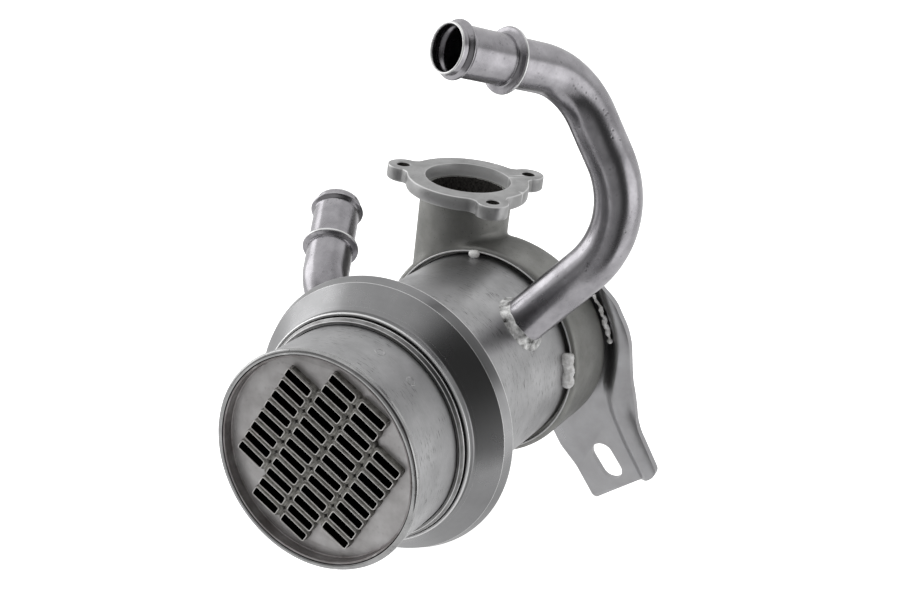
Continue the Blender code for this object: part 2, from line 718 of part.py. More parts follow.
def rib_height(offset):
    """Height of the pressed rib over the web, from the signed distance to its ridge."""
    if offset <= 0.0:
        reach = min(-offset / RIB_FLANK, 1.0)
        return RIB_HEIGHT * (0.5 + 0.5 * math.cos(math.pi * reach))
    return RIB_HEIGHT - RIB_EDGE_SLOPE * offset * min(offset / RIB_ROUND, 1.0)


def build_bracket(finish):
    """Pressed sheet: a flat web, a rib that turns along the outer edge, and a slot."""
    edge = HOUSING_R - BRACKET_INSET
    corners = [(edge + x * MM, y * MM, radius * MM) for x, y, radius in BRACKET_CORNERS]
    ridge = [Vector((edge + x * MM, y * MM)) for x, y in RIB_RIDGE]
    inner = [Vector((edge + x * MM, y * MM)) for x, y in WEB_INNER]
    offsets = [-RIB_FLANK * share for share in RIB_INNER_STEPS] + list(RIB_OUTER_STEPS)
    points = []
    for i, here in enumerate(ridge):
        run = (ridge[min(i + 1, len(ridge) - 1)] - ridge[max(i - 1, 0)]).normalized()
        outwards = Vector((-run.y, run.x))
        foot = here + outwards * -RIB_FLANK
        for flat in (inner[i], (inner[i] + foot) / 2.0):
            points.append((flat.x, flat.y, 0.0))
        for offset in offsets:
            at = here + outwards * offset
            points.append((at.x, at.y, rib_height(offset)))
    wide = len(offsets) + 2
    faces = []
    for i in range(len(ridge) - 1):
        for k in range(wide - 1):
            first = i * wide + k
            faces.append((first, first + wide, first + wide + 1, first + 1))
    sheet = mesh_from_faces("bracket_sheet", points, faces)
    item = add_object("bracket_sheet", sheet, PARTS)
    item.matrix_world = bracket_frame()
    wall = item.modifiers.new("sheet", "SOLIDIFY")
    wall.thickness = BRACKET_THICKNESS
    wall.offset = -1.0
    data = mesh_of(item, "bracket")
    bracket = add_object("bracket", data, PARTS, finish)
    slot = rounded_rectangle(SLOT_LENGTH, SLOT_WIDTH, 0.499 * SLOT_WIDTH, 6)
    slot = placed(slot, (edge + SLOT_AT[0], SLOT_AT[1]), SLOT_ANGLE)
    loops = [round_corners(corners), slot]
    blank = flat_outline("bracket_blank", loops, BRACKET_BLANK_DEPTH, bracket_frame())
    boolean(bracket, add_cutter("bracket_blank", blank), "INTERSECT")
    shade_round(data)


def build_bead(name, centre_r, radius, angles, place, finish):
    """A weld bead: a round rod along an arc about the cooler's axis, with rounded ends."""
    data = bpy.data.curves.new(name, "CURVE")
    data.dimensions = "3D"
    data.bevel_depth = radius
    data.bevel_resolution = 1
    data.use_fill_caps = True
    spline = data.splines.new("POLY")
    spline.points.add(WELD_STEPS)
    for k, point in enumerate(spline.points):
        angle = angles[0] + (angles[1] - angles[0]) * k / WELD_STEPS
        x, z = centre_r * math.cos(angle), centre_r * math.sin(angle)
        point.co = (x, place(z), z, 1.0)
        point.radius = WELD_END_SHARE if k in (0, WELD_STEPS) else 1.0
    item = add_object(name, data, PARTS)
    data = mesh_of(item, name)
    add_object(name, data, PARTS, finish)


def build_tack(name, angle, finish):
    """A small round tack weld where the shell meets the housing's lip."""
    centre_r = SHELL_FIT_R + TACK_R
    shape = bmesh.new()
    bmesh.ops.create_icosphere(shape, subdivisions=2, radius=TACK_R)
    at = (centre_r * math.cos(angle), LIP_Y - SEAT_GAP - TACK_R, centre_r * math.sin(angle))
    bmesh.ops.translate(shape, verts=shape.verts, vec=at)
    data = bpy.data.meshes.new(name)
    shape.to_mesh(data)
    shape.free()
    data.shade_smooth()
    add_object(name, data, PARTS, finish)


clear_scene()
PARTS = new_collection("exhaust_gas_cooler")
CUTTERS = new_collection("cutters")

stainless = metal("satin_stainless", (0.56, 0.55, 0.56), 0.28)
brushed = metal("brushed_stainless", (0.48, 0.48, 0.48), 0.38)
machined = metal("machined_steel", (0.42, 0.42, 0.43), 0.25)
tube_steel = metal("tube_steel", (0.5, 0.5, 0.49), 0.35)
cast = metal("cast_steel", (0.27, 0.27, 0.26), 0.55)
weld = metal("weld_metal", (0.62, 0.62, 0.6), 0.45)

long_base = base_on_shell(LONG_BASE_ANGLE, LONG_BASE_Y)
short_base = base_on_shell(SHORT_BASE_ANGLE, SHORT_BASE_Y)
long_way = Vector(LONG_LEGS[0][:3]).normalized()
short_way = Vector(SHORT_LEGS[0][:3]).normalized()

build_gas_tubes(tube_steel)
build_tube_sheet("front_tube_sheet", FRONT_SHEET_Y, -1, brushed)
build_tube_sheet("rear_tube_sheet", REAR_SHEET_Y, 1, brushed)
build_shell(brushed, (("long_port", long_base, long_way), ("short_port", short_base, short_way)))
build_seat_ring(stainless)
build_collar(machined)
build_housing(cast)
build_pipe("long_coolant_pipe", corners_from_legs(long_base, LONG_LEGS), LONG_BENDS,
           LONG_STOP_FROM_END, LONG_STOP_RISE, stainless)
build_pipe("short_coolant_pipe", corners_from_legs(short_base, SHORT_LEGS), SHORT_BENDS,
           SHORT_STOP_FROM_END, SHORT_STOP_RISE, stainless)
build_braze("long_pipe_braze", long_base, long_way, LONG_BRAZE_HEIGHT, weld)
build_braze("short_pipe_braze", short_base, short_way, SHORT_BRAZE_HEIGHT, weld)
build_bracket(brushed)
build_bead("bracket_weld", BRACKET_WELD_R, WELD_R, BRACKET_WELD_ANGLES,
           lambda z: BRACKET_Y - BACK_SLOPE * z - WELD_RISE, weld)
build_bead("side_tack_weld", SHELL_FIT_R + TACK_R, TACK_R, LONG_TACK_ANGLES,
           lambda z: LIP_Y - SEAT_GAP - TACK_R, weld)
build_tack("top_tack_weld", TACK_ANGLE, weld)
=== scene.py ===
# %% [markdown]
# # Exhaust gas cooler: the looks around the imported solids
# Hot exhaust enters the round mouth, runs through forty flat tubes and leaves through the cast
# outlet on top. Coolant flows round the tubes and uses the two bent pipes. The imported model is
# the frame: every piece below is drawn in its space, in metres.

# %% Load the frame
import math

import bmesh
import bpy
import numpy as np
from mathutils import Matrix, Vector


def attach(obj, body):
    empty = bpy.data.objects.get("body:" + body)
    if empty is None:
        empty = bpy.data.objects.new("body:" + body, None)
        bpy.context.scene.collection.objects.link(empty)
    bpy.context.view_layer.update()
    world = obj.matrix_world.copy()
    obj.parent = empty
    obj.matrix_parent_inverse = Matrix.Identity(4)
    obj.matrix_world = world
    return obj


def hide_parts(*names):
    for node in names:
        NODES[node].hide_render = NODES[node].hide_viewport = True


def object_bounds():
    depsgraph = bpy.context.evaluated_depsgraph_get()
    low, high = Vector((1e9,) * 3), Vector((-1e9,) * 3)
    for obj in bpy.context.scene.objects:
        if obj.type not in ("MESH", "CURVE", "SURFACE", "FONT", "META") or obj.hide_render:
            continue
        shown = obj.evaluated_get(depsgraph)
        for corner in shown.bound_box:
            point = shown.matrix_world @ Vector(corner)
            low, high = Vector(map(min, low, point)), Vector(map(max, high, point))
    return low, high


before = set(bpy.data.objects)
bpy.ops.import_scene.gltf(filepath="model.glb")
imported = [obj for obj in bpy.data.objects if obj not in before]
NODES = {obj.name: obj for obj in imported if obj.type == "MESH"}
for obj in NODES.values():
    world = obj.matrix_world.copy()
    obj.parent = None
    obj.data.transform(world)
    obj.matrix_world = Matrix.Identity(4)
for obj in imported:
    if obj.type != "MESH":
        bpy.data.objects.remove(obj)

MM = 0.001
CAD_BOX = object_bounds()
print("CAD box in mm:", [[round(v / MM, 1) for v in corner] for corner in CAD_BOX])

# %% [markdown]
# ## The camera
# The photograph was taken with a long lens from the front, to the right and above. The three
# directions were measured from the round rims: how flat each ellipse is gives the tilt.

# %% Camera
PICTURE_WIDTH = 900
SENSOR_MM = 36.0
TO_RIGHT = (0.8701, 0.4811, 0.1072)
TO_TOP = (-0.2752, 0.2937, 0.9154)
TO_CAMERA = (0.4090, -0.8260, 0.3880)
STANDPOINT = (0.2979, -0.5016, 0.3184)
FOCAL_PIXELS = 1702.2


def placed(name, data):
    """A new object with this data, linked to the scene."""
    item = bpy.data.objects.new(name, data)
    bpy.context.scene.collection.objects.link(item)
    return item


def frame_of(right, top, back, place):
    """The matrix whose columns are an object's three directions and its place."""
    return Matrix([(*row, value) for row, value in zip(zip(right, top, back), place)] + [(0, 0, 0, 1)])


lens = bpy.data.cameras.new("photo_camera")
lens.sensor_width = SENSOR_MM
lens.lens = FOCAL_PIXELS * SENSOR_MM / PICTURE_WIDTH
lens.clip_start = 0.01
camera = placed("photo_camera", lens)
camera.matrix_world = frame_of(TO_RIGHT, TO_TOP, TO_CAMERA, STANDPOINT)
bpy.context.scene.camera = camera
bpy.context.scene.view_settings.view_transform = "Standard"
print("lens in mm:", round(lens.lens, 2))

# %% [markdown]
# ## Colours and nodes
# Colours are written as they look on a screen, and one function turns them into light. One
# function adds a shader node, and a few short ones name the nodes that come back most.


# %% Colour and node helpers
def light_of(colour):
    """Linear light of an sRGB hex colour: c / 12.92 below 0.04045, else ((c + 0.055) / 1.055) ** 2.4."""
    c = np.array([int(colour[i:i + 2], 16) for i in (1, 3, 5)]) / 255.0
    c = np.where(c <= 0.04045, c / 12.92, ((c + 0.055) / 1.055) ** 2.4)
    return (*c.tolist(), 1.0)


def add(tree, kind, inputs=None, **settings):
    """Add a node, set its properties, and fill its inputs with values or with other nodes' outputs."""
    node = tree.nodes.new("ShaderNode" + kind)
    for name, value in settings.items():
        setattr(node, name, value)
    for name, value in (inputs or {}).items():
        if isinstance(value, bpy.types.NodeSocket):
            tree.links.new(value, node.inputs[name])
        else:
            node.inputs[name].default_value = value
    return node


def sums(tree, operation, a, b):
    """The sum, product, maximum or arctangent of two values."""
    return add(tree, "Math", {0: a, 1: b}, operation=operation).outputs["Value"]


def ramp(tree, value, low, high, start=0.0, end=1.0, kind="LINEAR"):
    """From start to end while the value runs from low to high, and level outside."""
    ends = {"From Min": low, "From Max": high, "To Min": start, "To Max": end}
    return add(tree, "MapRange", {"Value": value, **ends}, interpolation_type=kind).outputs["Result"]


def mixed(tree, share, a, b, blend="MIX"):
    """The first colour where the share is 0, and the second, or their product, where it is 1."""
    return add(tree, "Mix", {"Factor": share, "A": a, "B": b}, data_type="RGBA", blend_type=blend).outputs["Result"]


def noise(tree, place, scale, detail, roughness=0.5):
    """Noise from 0 to 1 with so many lumps per metre, or of an already stretched place."""
    return add(tree, "TexNoise", {"Vector": place, "Scale": scale, "Detail": detail,
                                  "Roughness": roughness}).outputs["Fac"]


def relief(tree, height, depth, strength, below=None, invert=False):
    """A normal tilted by a height pattern of that depth in metres, over an earlier relief if there is one."""
    inputs = {"Height": height, "Distance": depth, "Strength": strength}
    if below is not None:
        inputs["Normal"] = below
    return add(tree, "Bump", inputs, invert=invert).outputs["Normal"]


# %% [markdown]
# ## The studio
# Steel shows what stands round it, so the light is drawn for its reflections. The photograph's
# steel is pale where it mirrors the white backdrop behind it, has a dark streak where it mirrors
# the room round the camera, and pale ones from white panels. The world is that room: a dim base
# plus six soft round panels, each a smooth step of the angle to its middle. The camera, and what
# shows through an opening, see plain white instead.

# %% World
BASE_LEVEL = 0.05
WHITE = (1.0, 1.0, 1.0, 1.0)
PANELS = (
    # towards, cosine of the outer edge, cosine of the full middle, level
    ((-0.10, 0.97, 0.20), -0.05, 0.80, 0.80),    # backdrop
    ((0.96, 0.20, -0.10), 0.84, 0.95, 1.45),     # right
    ((0.80, 0.10, -0.60), 0.86, 0.96, 1.10),     # right, low
    ((-0.97, 0.15, 0.10), 0.40, 0.80, 0.85),     # left
    ((-0.05, -0.99, -0.10), 0.60, 0.95, 0.30),   # front, dim
    ((-0.45, 0.10, 0.89), 0.50, 0.88, 0.85),     # above, left
)

world = bpy.data.worlds.new("studio")
bpy.context.scene.world = world
world.use_nodes = True
sky = world.node_tree
sky.nodes.clear()
way = add(sky, "TexCoord").outputs["Generated"]
level = None
for towards, edge, middle, strength in PANELS:
    towards = np.array(towards) / np.linalg.norm(towards)
    near = add(sky, "VectorMath", {0: way, 1: tuple(towards)}, operation="DOT_PRODUCT").outputs["Value"]
    glow = ramp(sky, near, edge, middle, end=strength, kind="SMOOTHSTEP")
    level = glow if level is None else sums(sky, "MAXIMUM", level, glow)
level = sums(sky, "ADD", level, BASE_LEVEL)
room = add(sky, "CombineColor", {0: level, 1: level, 2: level}).outputs["Color"]
ray = add(sky, "LightPath").outputs
plain = sums(sky, "MAXIMUM", ray["Is Camera Ray"], ray["Is Transmission Ray"])
shown = add(sky, "Background", {"Color": mixed(sky, plain, room, WHITE)})
add(sky, "OutputWorld", {"Surface": shown.outputs["Background"]})
print("panels:", len(PANELS))

# %% [markdown]
# ## Lamps
# One soft box stands at the left. A large one over the camera lights only what scatters light,
# such as the casting, the flange and the welds: mirrors don't see it, so the streak stays dark.

# %% Lamps
AIM = np.array((0.0, 0.085, 0.03))


def soft_box(name, shares, width, height, power, distance, mirrored=True):
    """A rectangular lamp that faces the cooler, placed by shares of the camera's three directions."""
    out = sum(share * np.array(way) for share, way in zip(shares, (TO_RIGHT, TO_TOP, TO_CAMERA)))
    out /= np.linalg.norm(out)
    side = np.cross(np.array(TO_TOP), out)
    side /= np.linalg.norm(side)
    data = bpy.data.lights.new(name, "AREA")
    data.shape, data.size, data.size_y, data.energy = "RECTANGLE", width, height, power
    lamp = placed(name, data)
    lamp.matrix_world = frame_of(side, np.cross(out, side), out, AIM + out * distance)
    lamp.visible_glossy = mirrored


soft_box("left_box", (-1.0, 0.45, -0.35), 0.9, 1.1, 3.9, 1.4)
soft_box("front_fill", (-0.45, 0.75, 1.0), 1.6, 1.6, 11.0, 1.5, mirrored=False)

# %% [markdown]
# ## The table
# A white table lies under the object. It shows white to the camera, yet keeps a soft shadow.
# Mirrors see it as an even pale surface, without that shadow. It has a corner towards the
# camera, out of view, so that steel facing there mirrors the dim room.

# %% Table
TABLE_Z = float(CAD_BOX[0][2]) - 0.2 * MM
FRONT_RIGHT, FRONT_LEFT = np.array((0.85, -0.53)), np.array((-0.53, -0.85))
NEAR_RIGHT, NEAR_LEFT, FAR = 0.14, 0.28, -6.0
PAPER_GLOW, MIRRORED_GLOW = 0.85, 0.9

corners = [FRONT_RIGHT * right + FRONT_LEFT * left for right, left in
           ((NEAR_RIGHT, NEAR_LEFT), (NEAR_RIGHT, FAR), (FAR, FAR), (FAR, NEAR_LEFT))]
table = bpy.data.meshes.new("table")
table.from_pydata([(*corner, TABLE_Z) for corner in corners], [], [(0, 1, 2, 3)])
if table.polygons[0].normal.z < 0.0:
    table.flip_normals()
placed("table", table)
paper = bpy.data.materials.new("white_paper_sweep")
paper.use_nodes = True
tree = paper.node_tree
tree.nodes.clear()
ray = add(tree, "LightPath").outputs
matt = add(tree, "BsdfDiffuse", {"Color": light_of("#f4f4f4")}).outputs["BSDF"]
glow = sums(tree, "MULTIPLY", ray["Is Camera Ray"], PAPER_GLOW)
lit = add(tree, "Emission", {"Color": WHITE, "Strength": glow}).outputs["Emission"]
direct = add(tree, "AddShader", {0: matt, 1: lit}).outputs["Shader"]
mirrored = sums(tree, "MAXIMUM", ray["Is Glossy Ray"], ray["Is Transmission Ray"])
pale = add(tree, "Emission", {"Color": WHITE, "Strength": MIRRORED_GLOW}).outputs["Emission"]
surface = add(tree, "MixShader", {0: mirrored, 1: direct, 2: pale}).outputs["Shader"]
add(tree, "OutputMaterial", {"Surface": surface})
table.materials.append(paper)
print("table at", round(TABLE_Z / MM, 2), "mm")

# %% [markdown]
# ## Surfaces from numbers
# A turned, bent or formed part is a sheet of points: one parameter runs round it and the other
# along it. numpy works out all points at once, and the mesh joins each to its neighbours.


# %% Surface helpers
def joined(*parts):
    """Numbers side by side along a last axis, with the smaller arrays repeated: xs, ys and zs become points."""
    return np.stack(np.broadcast_arrays(*parts), axis=-1)


def unit(vectors):
    """Vectors shortened to length 1."""
    return vectors / np.linalg.norm(vectors, axis=-1, keepdims=True)


def clamp(value):
    """The value kept between 0 and 1."""
    return np.clip(value, 0.0, 1.0)


def round_angles(steps):
    """Even angles once round, the last one a step short of the first."""
    return np.linspace(0.0, 2.0 * np.pi, steps, endpoint=False)


def run_of(line):
    """Distance along a line of points, from 0 at its first."""
    return np.r_[0.0, np.cumsum(np.linalg.norm(np.diff(line, axis=0), axis=1))]


def lumps(points, size, seed):
    """Soft noise from -1 to 1: random numbers on a lattice of that size, blended between its eight corners."""
    q = np.asarray(points) / size
    cell = np.floor(q).astype(np.int64)
    part = q - cell
    part = part * part * (3.0 - 2.0 * part)
    total = 0.0
    for corner in np.ndindex(2, 2, 2):
        at = cell + np.array(corner)
        number = (at[..., 0] * 73856093) ^ (at[..., 1] * 19349663) ^ (at[..., 2] * 83492791) ^ (seed * 7919)
        value = (number * 2654435761 % 2 ** 32) / 2.0 ** 32
        total = total + np.prod(np.where(np.array(corner) == 1, part, 1.0 - part), axis=-1) * value
    return 2.0 * total - 1.0


def grid_faces(rows, columns, around=True, along=False):
    """Corner numbers of the squares between neighbouring points. The last row or column may join the first."""
    i, j = np.meshgrid(np.arange(rows if along else rows - 1), np.arange(columns if around else columns - 1),
                       indexing="ij")
    below, beside = (i + 1) % rows, (j + 1) % columns
    return joined(i * columns + j, i * columns + beside, below * columns + beside, below * columns + j).reshape(-1, 4)


def outward(points, faces):
    """Turn the faces round where the volume that they enclose, the sum of a . (b x c) over triangles, is negative."""
    a, b, c, d = (points[faces[:, k]] for k in range(4))
    volume = np.sum(a * np.cross(b, c)) + np.sum(a * np.cross(c, d))
    return faces if volume > 0 else faces[:, ::-1]


def closed_sheet(points):
    """Outward faces of rows of points that join up both ways round."""
    return outward(points.reshape(-1, 3), grid_faces(*points.shape[:2], along=True))


def dressed(item, material, replaced=()):
    """Give a piece its material, hang it under the root, and hide the solids that it stands for."""
    item.data.materials.clear()
    item.data.materials.append(material)
    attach(item, "root")
    if replaced:
        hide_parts(*replaced)
    return item


def meshed(name, points, faces):
    """A new object from points in metres and the corner numbers of its faces."""
    data = bpy.data.meshes.new(name)
    data.from_pydata(points.reshape(-1, 3).tolist(), [], faces)
    return placed(name, data)


def smooth(item, sharp):
    """Smooth shading, but for edges that bend by more than so many degrees."""
    item.data.shade_smooth()
    item.data.set_sharp_from_angle(angle=math.radians(sharp))


def piece(name, points, material, replaced=(), sharp=35.0, worn=None, faces=None):
    """A finished piece of the cooler from rows of points in millimetres, with its rubbing and painted highlight at
    each point.
    """
    points = np.asarray(points) * MM
    faces = closed_sheet(points) if faces is None else faces
    item = meshed(name, points, faces.tolist())
    smooth(item, sharp)
    if worn is not None:
        wear = item.data.attributes.new("worn", "FLOAT", "POINT")
        wear.data.foreach_set("value", np.asarray(worn, dtype=float).ravel())
    return dressed(item, material, replaced)


def centres_and_normals(item):
    """Each face's centre in millimetres and its normal, as two arrays."""
    found = []
    for what in ("center", "normal"):
        flat = np.empty(len(item.data.polygons) * 3)
        item.data.polygons.foreach_get(what, flat)
        found.append(flat.reshape(-1, 3))
    return found[0] / MM, found[1]


def repaint(item, chosen, material):
    """Give the chosen faces a second material."""
    item.data.materials.append(material)
    item.data.polygons.foreach_set("material_index", np.asarray(chosen).ravel().astype(np.int32))
    print(item.name + ":", int(np.sum(chosen)), "of", len(item.data.polygons), "faces in", material.name)


def turned_flat(points, angle, x=0.0, z=0.0):
    """Flat points turned by an angle and moved: (x + a cos - b sin, z + a sin + b cos)."""
    cos, sin = np.cos(angle), np.sin(angle)
    a, b = points[..., 0], points[..., 1]
    return joined(x + cos * a - sin * b, z + sin * a + cos * b)


def arc(centre, radius, start, end, count):
    """Points on an arc: centre + radius * (cos, sin) of angles from start to end, in degrees."""
    angle = np.radians(np.linspace(start, end, count))
    return joined(centre[0] + radius * np.cos(angle), centre[1] + radius * np.sin(angle))


def rounded(corners, per_corner=7):
    """Closed outline through (a, b, radius) corners, each cut by an arc that touches both of its sides."""
    corners = np.asarray(corners, dtype=float)
    outline = []
    for i, (a, b, radius) in enumerate(corners):
        here = np.array((a, b))
        before, after = unit(corners[i - 1, :2] - here), unit(corners[(i + 1) % len(corners), :2] - here)
        half = np.arccos(np.clip(before @ after, -1.0, 1.0)) / 2.0
        middle = here + unit(before + after) * radius / np.sin(half)
        first = here + before * radius / np.tan(half) - middle
        last = here + after * radius / np.tan(half) - middle
        turn = np.arctan2(first[0] * last[1] - first[1] * last[0], first @ last)
        angle = turn * np.linspace(0.0, 1.0, per_corner)
        outline.append(turned_flat(first, angle, *middle))
    return np.concatenate(outline)


def corner_wear(corners, per_corner):
    """Rubbing and painted highlight at each point of such an outline: on outer corners a sine, 0 at the arc's ends
    and 1 at its middle.
    """
    corners = np.asarray(corners, dtype=float)[:, :2]
    before, after = corners - np.roll(corners, 1, axis=0), np.roll(corners, -1, axis=0) - corners
    bend = before[:, 0] * after[:, 1] - before[:, 1] * after[:, 0]
    area = np.sum(corners[:, 0] * np.roll(corners[:, 1], -1) - np.roll(corners[:, 0], -1) * corners[:, 1])
    return (np.sin(np.linspace(0.0, np.pi, per_corner))[None, :] * (bend * area > 0)[:, None]).ravel()


def turned(profile, steps):
    """Points of a turned part: each (radius, y) goes round the Y axis as (radius * cos, y, radius * sin)."""
    angle = round_angles(steps)
    radius, y = profile[:, :1], profile[:, 1:]
    return joined(radius * np.cos(angle), y, radius * np.sin(angle))


# %% [markdown]
# ## Finishes
# All of it is steel, but each part was made in another way, and that is what the eye sees:
# drawn tube, rolled sheet, turned and cast faces, and rough braze. One recipe holds what they
# share. Broad stains shift the colour, a fine grain breaks up the mirror, lines follow the
# tool or the rolling, and pits and rubbed edges come last. The rubbed edges are also a painted
# highlight: sharp edges and marked ones turn near white and less metallic.


# %% The recipe for bare steel
SHOWN = 1e-5        # relief is drawn ten times as deep as its micrometres, so that it shows from this distance
SHOWN_PITS = 5e-6   # and pits five times
SCRATCH_DEPTH = 4e-5
# Near white for rubbed edges, which also serves as a painted highlight along edges.
GRIME, DIRT, RUBBED = light_of("#4c4b4a"), light_of("#1f1e1d"), light_of("#f0f0f0")


def scratch_marks(tree, place):
    """Short thin marks round the Y axis, in patches: noise of (angle, y), kept where it is high."""
    split = add(tree, "SeparateXYZ", {0: place}).outputs
    unrolled = add(tree, "CombineXYZ", {0: sums(tree, "ARCTAN2", split["X"], split["Z"]), 1: split["Y"], 2: 0.0})
    thin = add(tree, "Mapping", {"Vector": unrolled.outputs["Vector"], "Scale": (9.0, 2.6 / MM, 1.0)})
    marks = ramp(tree, noise(tree, thin.outputs["Vector"], 1.0, 2.0), 0.60, 0.70)
    return sums(tree, "MULTIPLY", marks, ramp(tree, noise(tree, place, 0.06 / MM, 1.0), 0.38, 0.54))


def round_the_axis(tree, place):
    """(distance from the Y axis, y, 0) of a place: a pattern of it runs round like a turning tool's marks."""
    split = add(tree, "SeparateXYZ", {0: place}).outputs
    flat = add(tree, "CombineXYZ", {0: split["X"], 1: 0.0, 2: split["Z"]}).outputs["Vector"]
    radius = add(tree, "VectorMath", {0: flat}, operation="LENGTH").outputs["Value"]
    return add(tree, "CombineXYZ", {0: radius, 1: split["Y"], 2: 0.0}).outputs["Vector"]


def bare_steel(name, bright, dull, rough, stain_mm, grain_mm=0.5, grain_um=4.0, metal=1.0, edge=0.3, pits=None,
               lines=None, turned_lines=False, scratches=0.0):
    """Steel between two colours, its stains, grain, lines and pits in real sizes.

    pits is their spacing in mm, their depth in micrometres and how dark they are. lines is the stretch of the
    line pattern, in lines per millimetre, its depth in micrometres and its shade. The stretch is along X, Y and
    Z, or along the radius, the axis and nothing for turned lines. scratches is how dark the short marks round
    the axis are. metal is below 1 where scale, flux or blasting leave a skin that scatters light.
    """
    finish = bpy.data.materials.new(name)
    finish.use_nodes = True
    tree = finish.node_tree
    shader = tree.nodes["Principled BSDF"].inputs
    shader["Metallic"].default_value = metal
    place = add(tree, "TexCoord").outputs["Object"]
    stain = noise(tree, place, 1.0 / (stain_mm * MM), 5.0, 0.6)
    colour = mixed(tree, ramp(tree, stain, 0.32, 0.68), light_of(dull), light_of(bright))
    roughness = ramp(tree, stain, 0.3, 0.7, rough * 1.25, rough * 0.85)
    normal = relief(tree, noise(tree, place, 1.0 / (grain_mm * MM), 3.0), grain_um * SHOWN, 0.6)
    if lines:
        along = round_the_axis(tree, place) if turned_lines else place
        stretch, lines_um, line_shade = lines
        stretched = add(tree, "Mapping", {"Vector": along, "Scale": tuple(v / MM for v in stretch)})
        streak = noise(tree, stretched.outputs["Vector"], 1.0, 4.0, 0.65)
        normal = relief(tree, streak, lines_um * SHOWN, 0.7, normal)
        shade = ramp(tree, streak, 0.3, 0.7, 1.0 - line_shade, 1.0 + line_shade)
        colour = mixed(tree, 1.0, colour, shade, "MULTIPLY")
    if scratches:
        mark = scratch_marks(tree, place)
        normal = relief(tree, mark, SCRATCH_DEPTH, 0.8, normal, invert=True)
        colour = mixed(tree, sums(tree, "MULTIPLY", mark, scratches), colour, GRIME)
    if pits:
        pits_mm, pit_um, pit_dark = pits
        cells = add(tree, "TexVoronoi", {"Vector": place, "Scale": 1.0 / (pits_mm * MM)}).outputs["Distance"]
        chosen = ramp(tree, noise(tree, place, 0.35 / (pits_mm * MM), 2.0), 0.5, 0.62)
        pit = sums(tree, "MULTIPLY", ramp(tree, cells, 0.05, 0.32, 1.0, 0.0), chosen)
        normal = relief(tree, pit, pit_um * SHOWN_PITS, 0.8, normal, invert=True)
        colour = mixed(tree, sums(tree, "MULTIPLY", pit, pit_dark), colour, DIRT)
    # Sharp and marked edges turn near white and less metallic: partly rubbed metal, partly a painted highlight along
    # edges that catch the light.
    if edge:
        sharp = ramp(tree, add(tree, "NewGeometry").outputs["Pointiness"], 0.52, 0.6, end=edge)
        handled = ramp(tree, add(tree, "Attribute", attribute_name="worn").outputs["Fac"], 0.2, 0.9, end=0.9)
        worn = sums(tree, "MAXIMUM", sharp, handled)
        colour = mixed(tree, worn, colour, RUBBED)
        tree.links.new(ramp(tree, worn, 0.0, 1.0, metal, metal * 0.5), shader["Metallic"])
    for socket, value in (("Base Color", colour), ("Roughness", roughness), ("Normal", normal)):
        tree.links.new(value, shader[socket])
    return finish


# %% The finishes
# name, bright, dull, roughness, stains mm, grain mm, grain micrometres, metal, edge
drawn_tube = bare_steel("stainless_tube_drawn_and_pickled", "#b1afb3", "#929094", 0.24, 11.0, 0.8, 3.0,
                        pits=(2.2, 12.0, 0.3))
rolled_sheet = bare_steel("stainless_sheet_rolled", "#bdbdbe", "#a8a8a9", 0.4, 22.0, 0.4, 3.0,
                          lines=((0.25, 2.4, 0.6), 0.8, 0.05), scratches=1.0)
rolled_rim = bare_steel("stainless_rim_rolled_over", "#b4b4b4", "#9a9a9a", 0.17, 9.0, 0.6, 2.0, pits=(1.8, 10.0, 0.4))
turned_steel = bare_steel("steel_turned", "#969697", "#888889", 0.27, 30.0, 0.35, 1.0,
                          lines=((5.0, 5.0, 0.1), 0.5, 0.04), turned_lines=True)
ring_steel = bare_steel("steel_ring_sooted", "#979797", "#737272", 0.33, 5.0)
cast_skin = bare_steel("steel_cast_and_blasted", "#949491", "#838380", 0.46, 16.0, 0.45, 14.0, 0.8, 0.35,
                       pits=(1.1, 30.0, 0.45))
# Its strong edge setting paints a highlight along the milled edges.
milled_face = bare_steel("steel_cast_then_milled", "#a6a6a6", "#919191", 0.36, 10.0, 0.35, 4.0, 0.65, 0.75,
                         pits=(1.6, 12.0, 0.4))
pressed_sheet = bare_steel("steel_sheet_pressed", "#acacae", "#9b9a9c", 0.3, 18.0, 0.4, 4.0, 0.9, 0.12)
braze_metal = bare_steel("braze_as_laid", "#f7f7f6", "#2b2926", 0.35, 3.4, 0.6, 14.0, 0.25)
# Near white and barely metallic: a painted highlight for the welds' glint.
bright_weld = bare_steel("weld_with_painted_highlight", "#fafafa", "#cac8c5", 0.35, 2.4, 0.6, 14.0, 0.1)
tube_strip = bare_steel("stainless_strip_folded_tube", "#e2e0dd", "#bdbab6", 0.32, 3.0, 0.4, 6.0, 0.75)
sheet_face = bare_steel("stainless_sheet_furnace_stained", "#a29f9f", "#827d7c", 0.4, 8.0, 0.5, 5.0, 0.85,
                        pits=(2.4, 10.0, 0.3))
web_braze = bare_steel("furnace_braze_in_the_web", "#93918c", "#55534e", 0.42, 2.0, 0.4, 16.0, 0.6,
                       pits=(1.2, 50.0, 0.6))
# Dark cast steel, used as painted shade in the chamber, the bore and the bolt holes.
sooted_casting = bare_steel("steel_cast_painted_shade", "#55524f", "#1f1d1c", 0.6, 1.0, 0.5, 14.0, 0.5, 0.0)
# Near black, used as painted shade deep in the tube bores.
soot = bare_steel("painted_shade_in_tube_bores", "#1c1b1a", "#0c0c0c", 0.7, 4.0, edge=0.0)
print("finishes:", len(bpy.data.materials))

# %% [markdown]
# ## Shell, seat ring and collar
# These were rolled or turned, so each is one profile carried round the cooler's axis. The rim
# is rolled outwards into a bead that catches the light, and every edge is slightly broken.

# %% Shell with its rolled rim
SHELL_R, SHELL_WALL, SHELL_END = 45.0, 1.2, 137.5
BEAD_AT, BEAD_R = 44.6, 1.4
STEPS, WALL_ROWS, BEAD_ROWS = 288, 60, 17


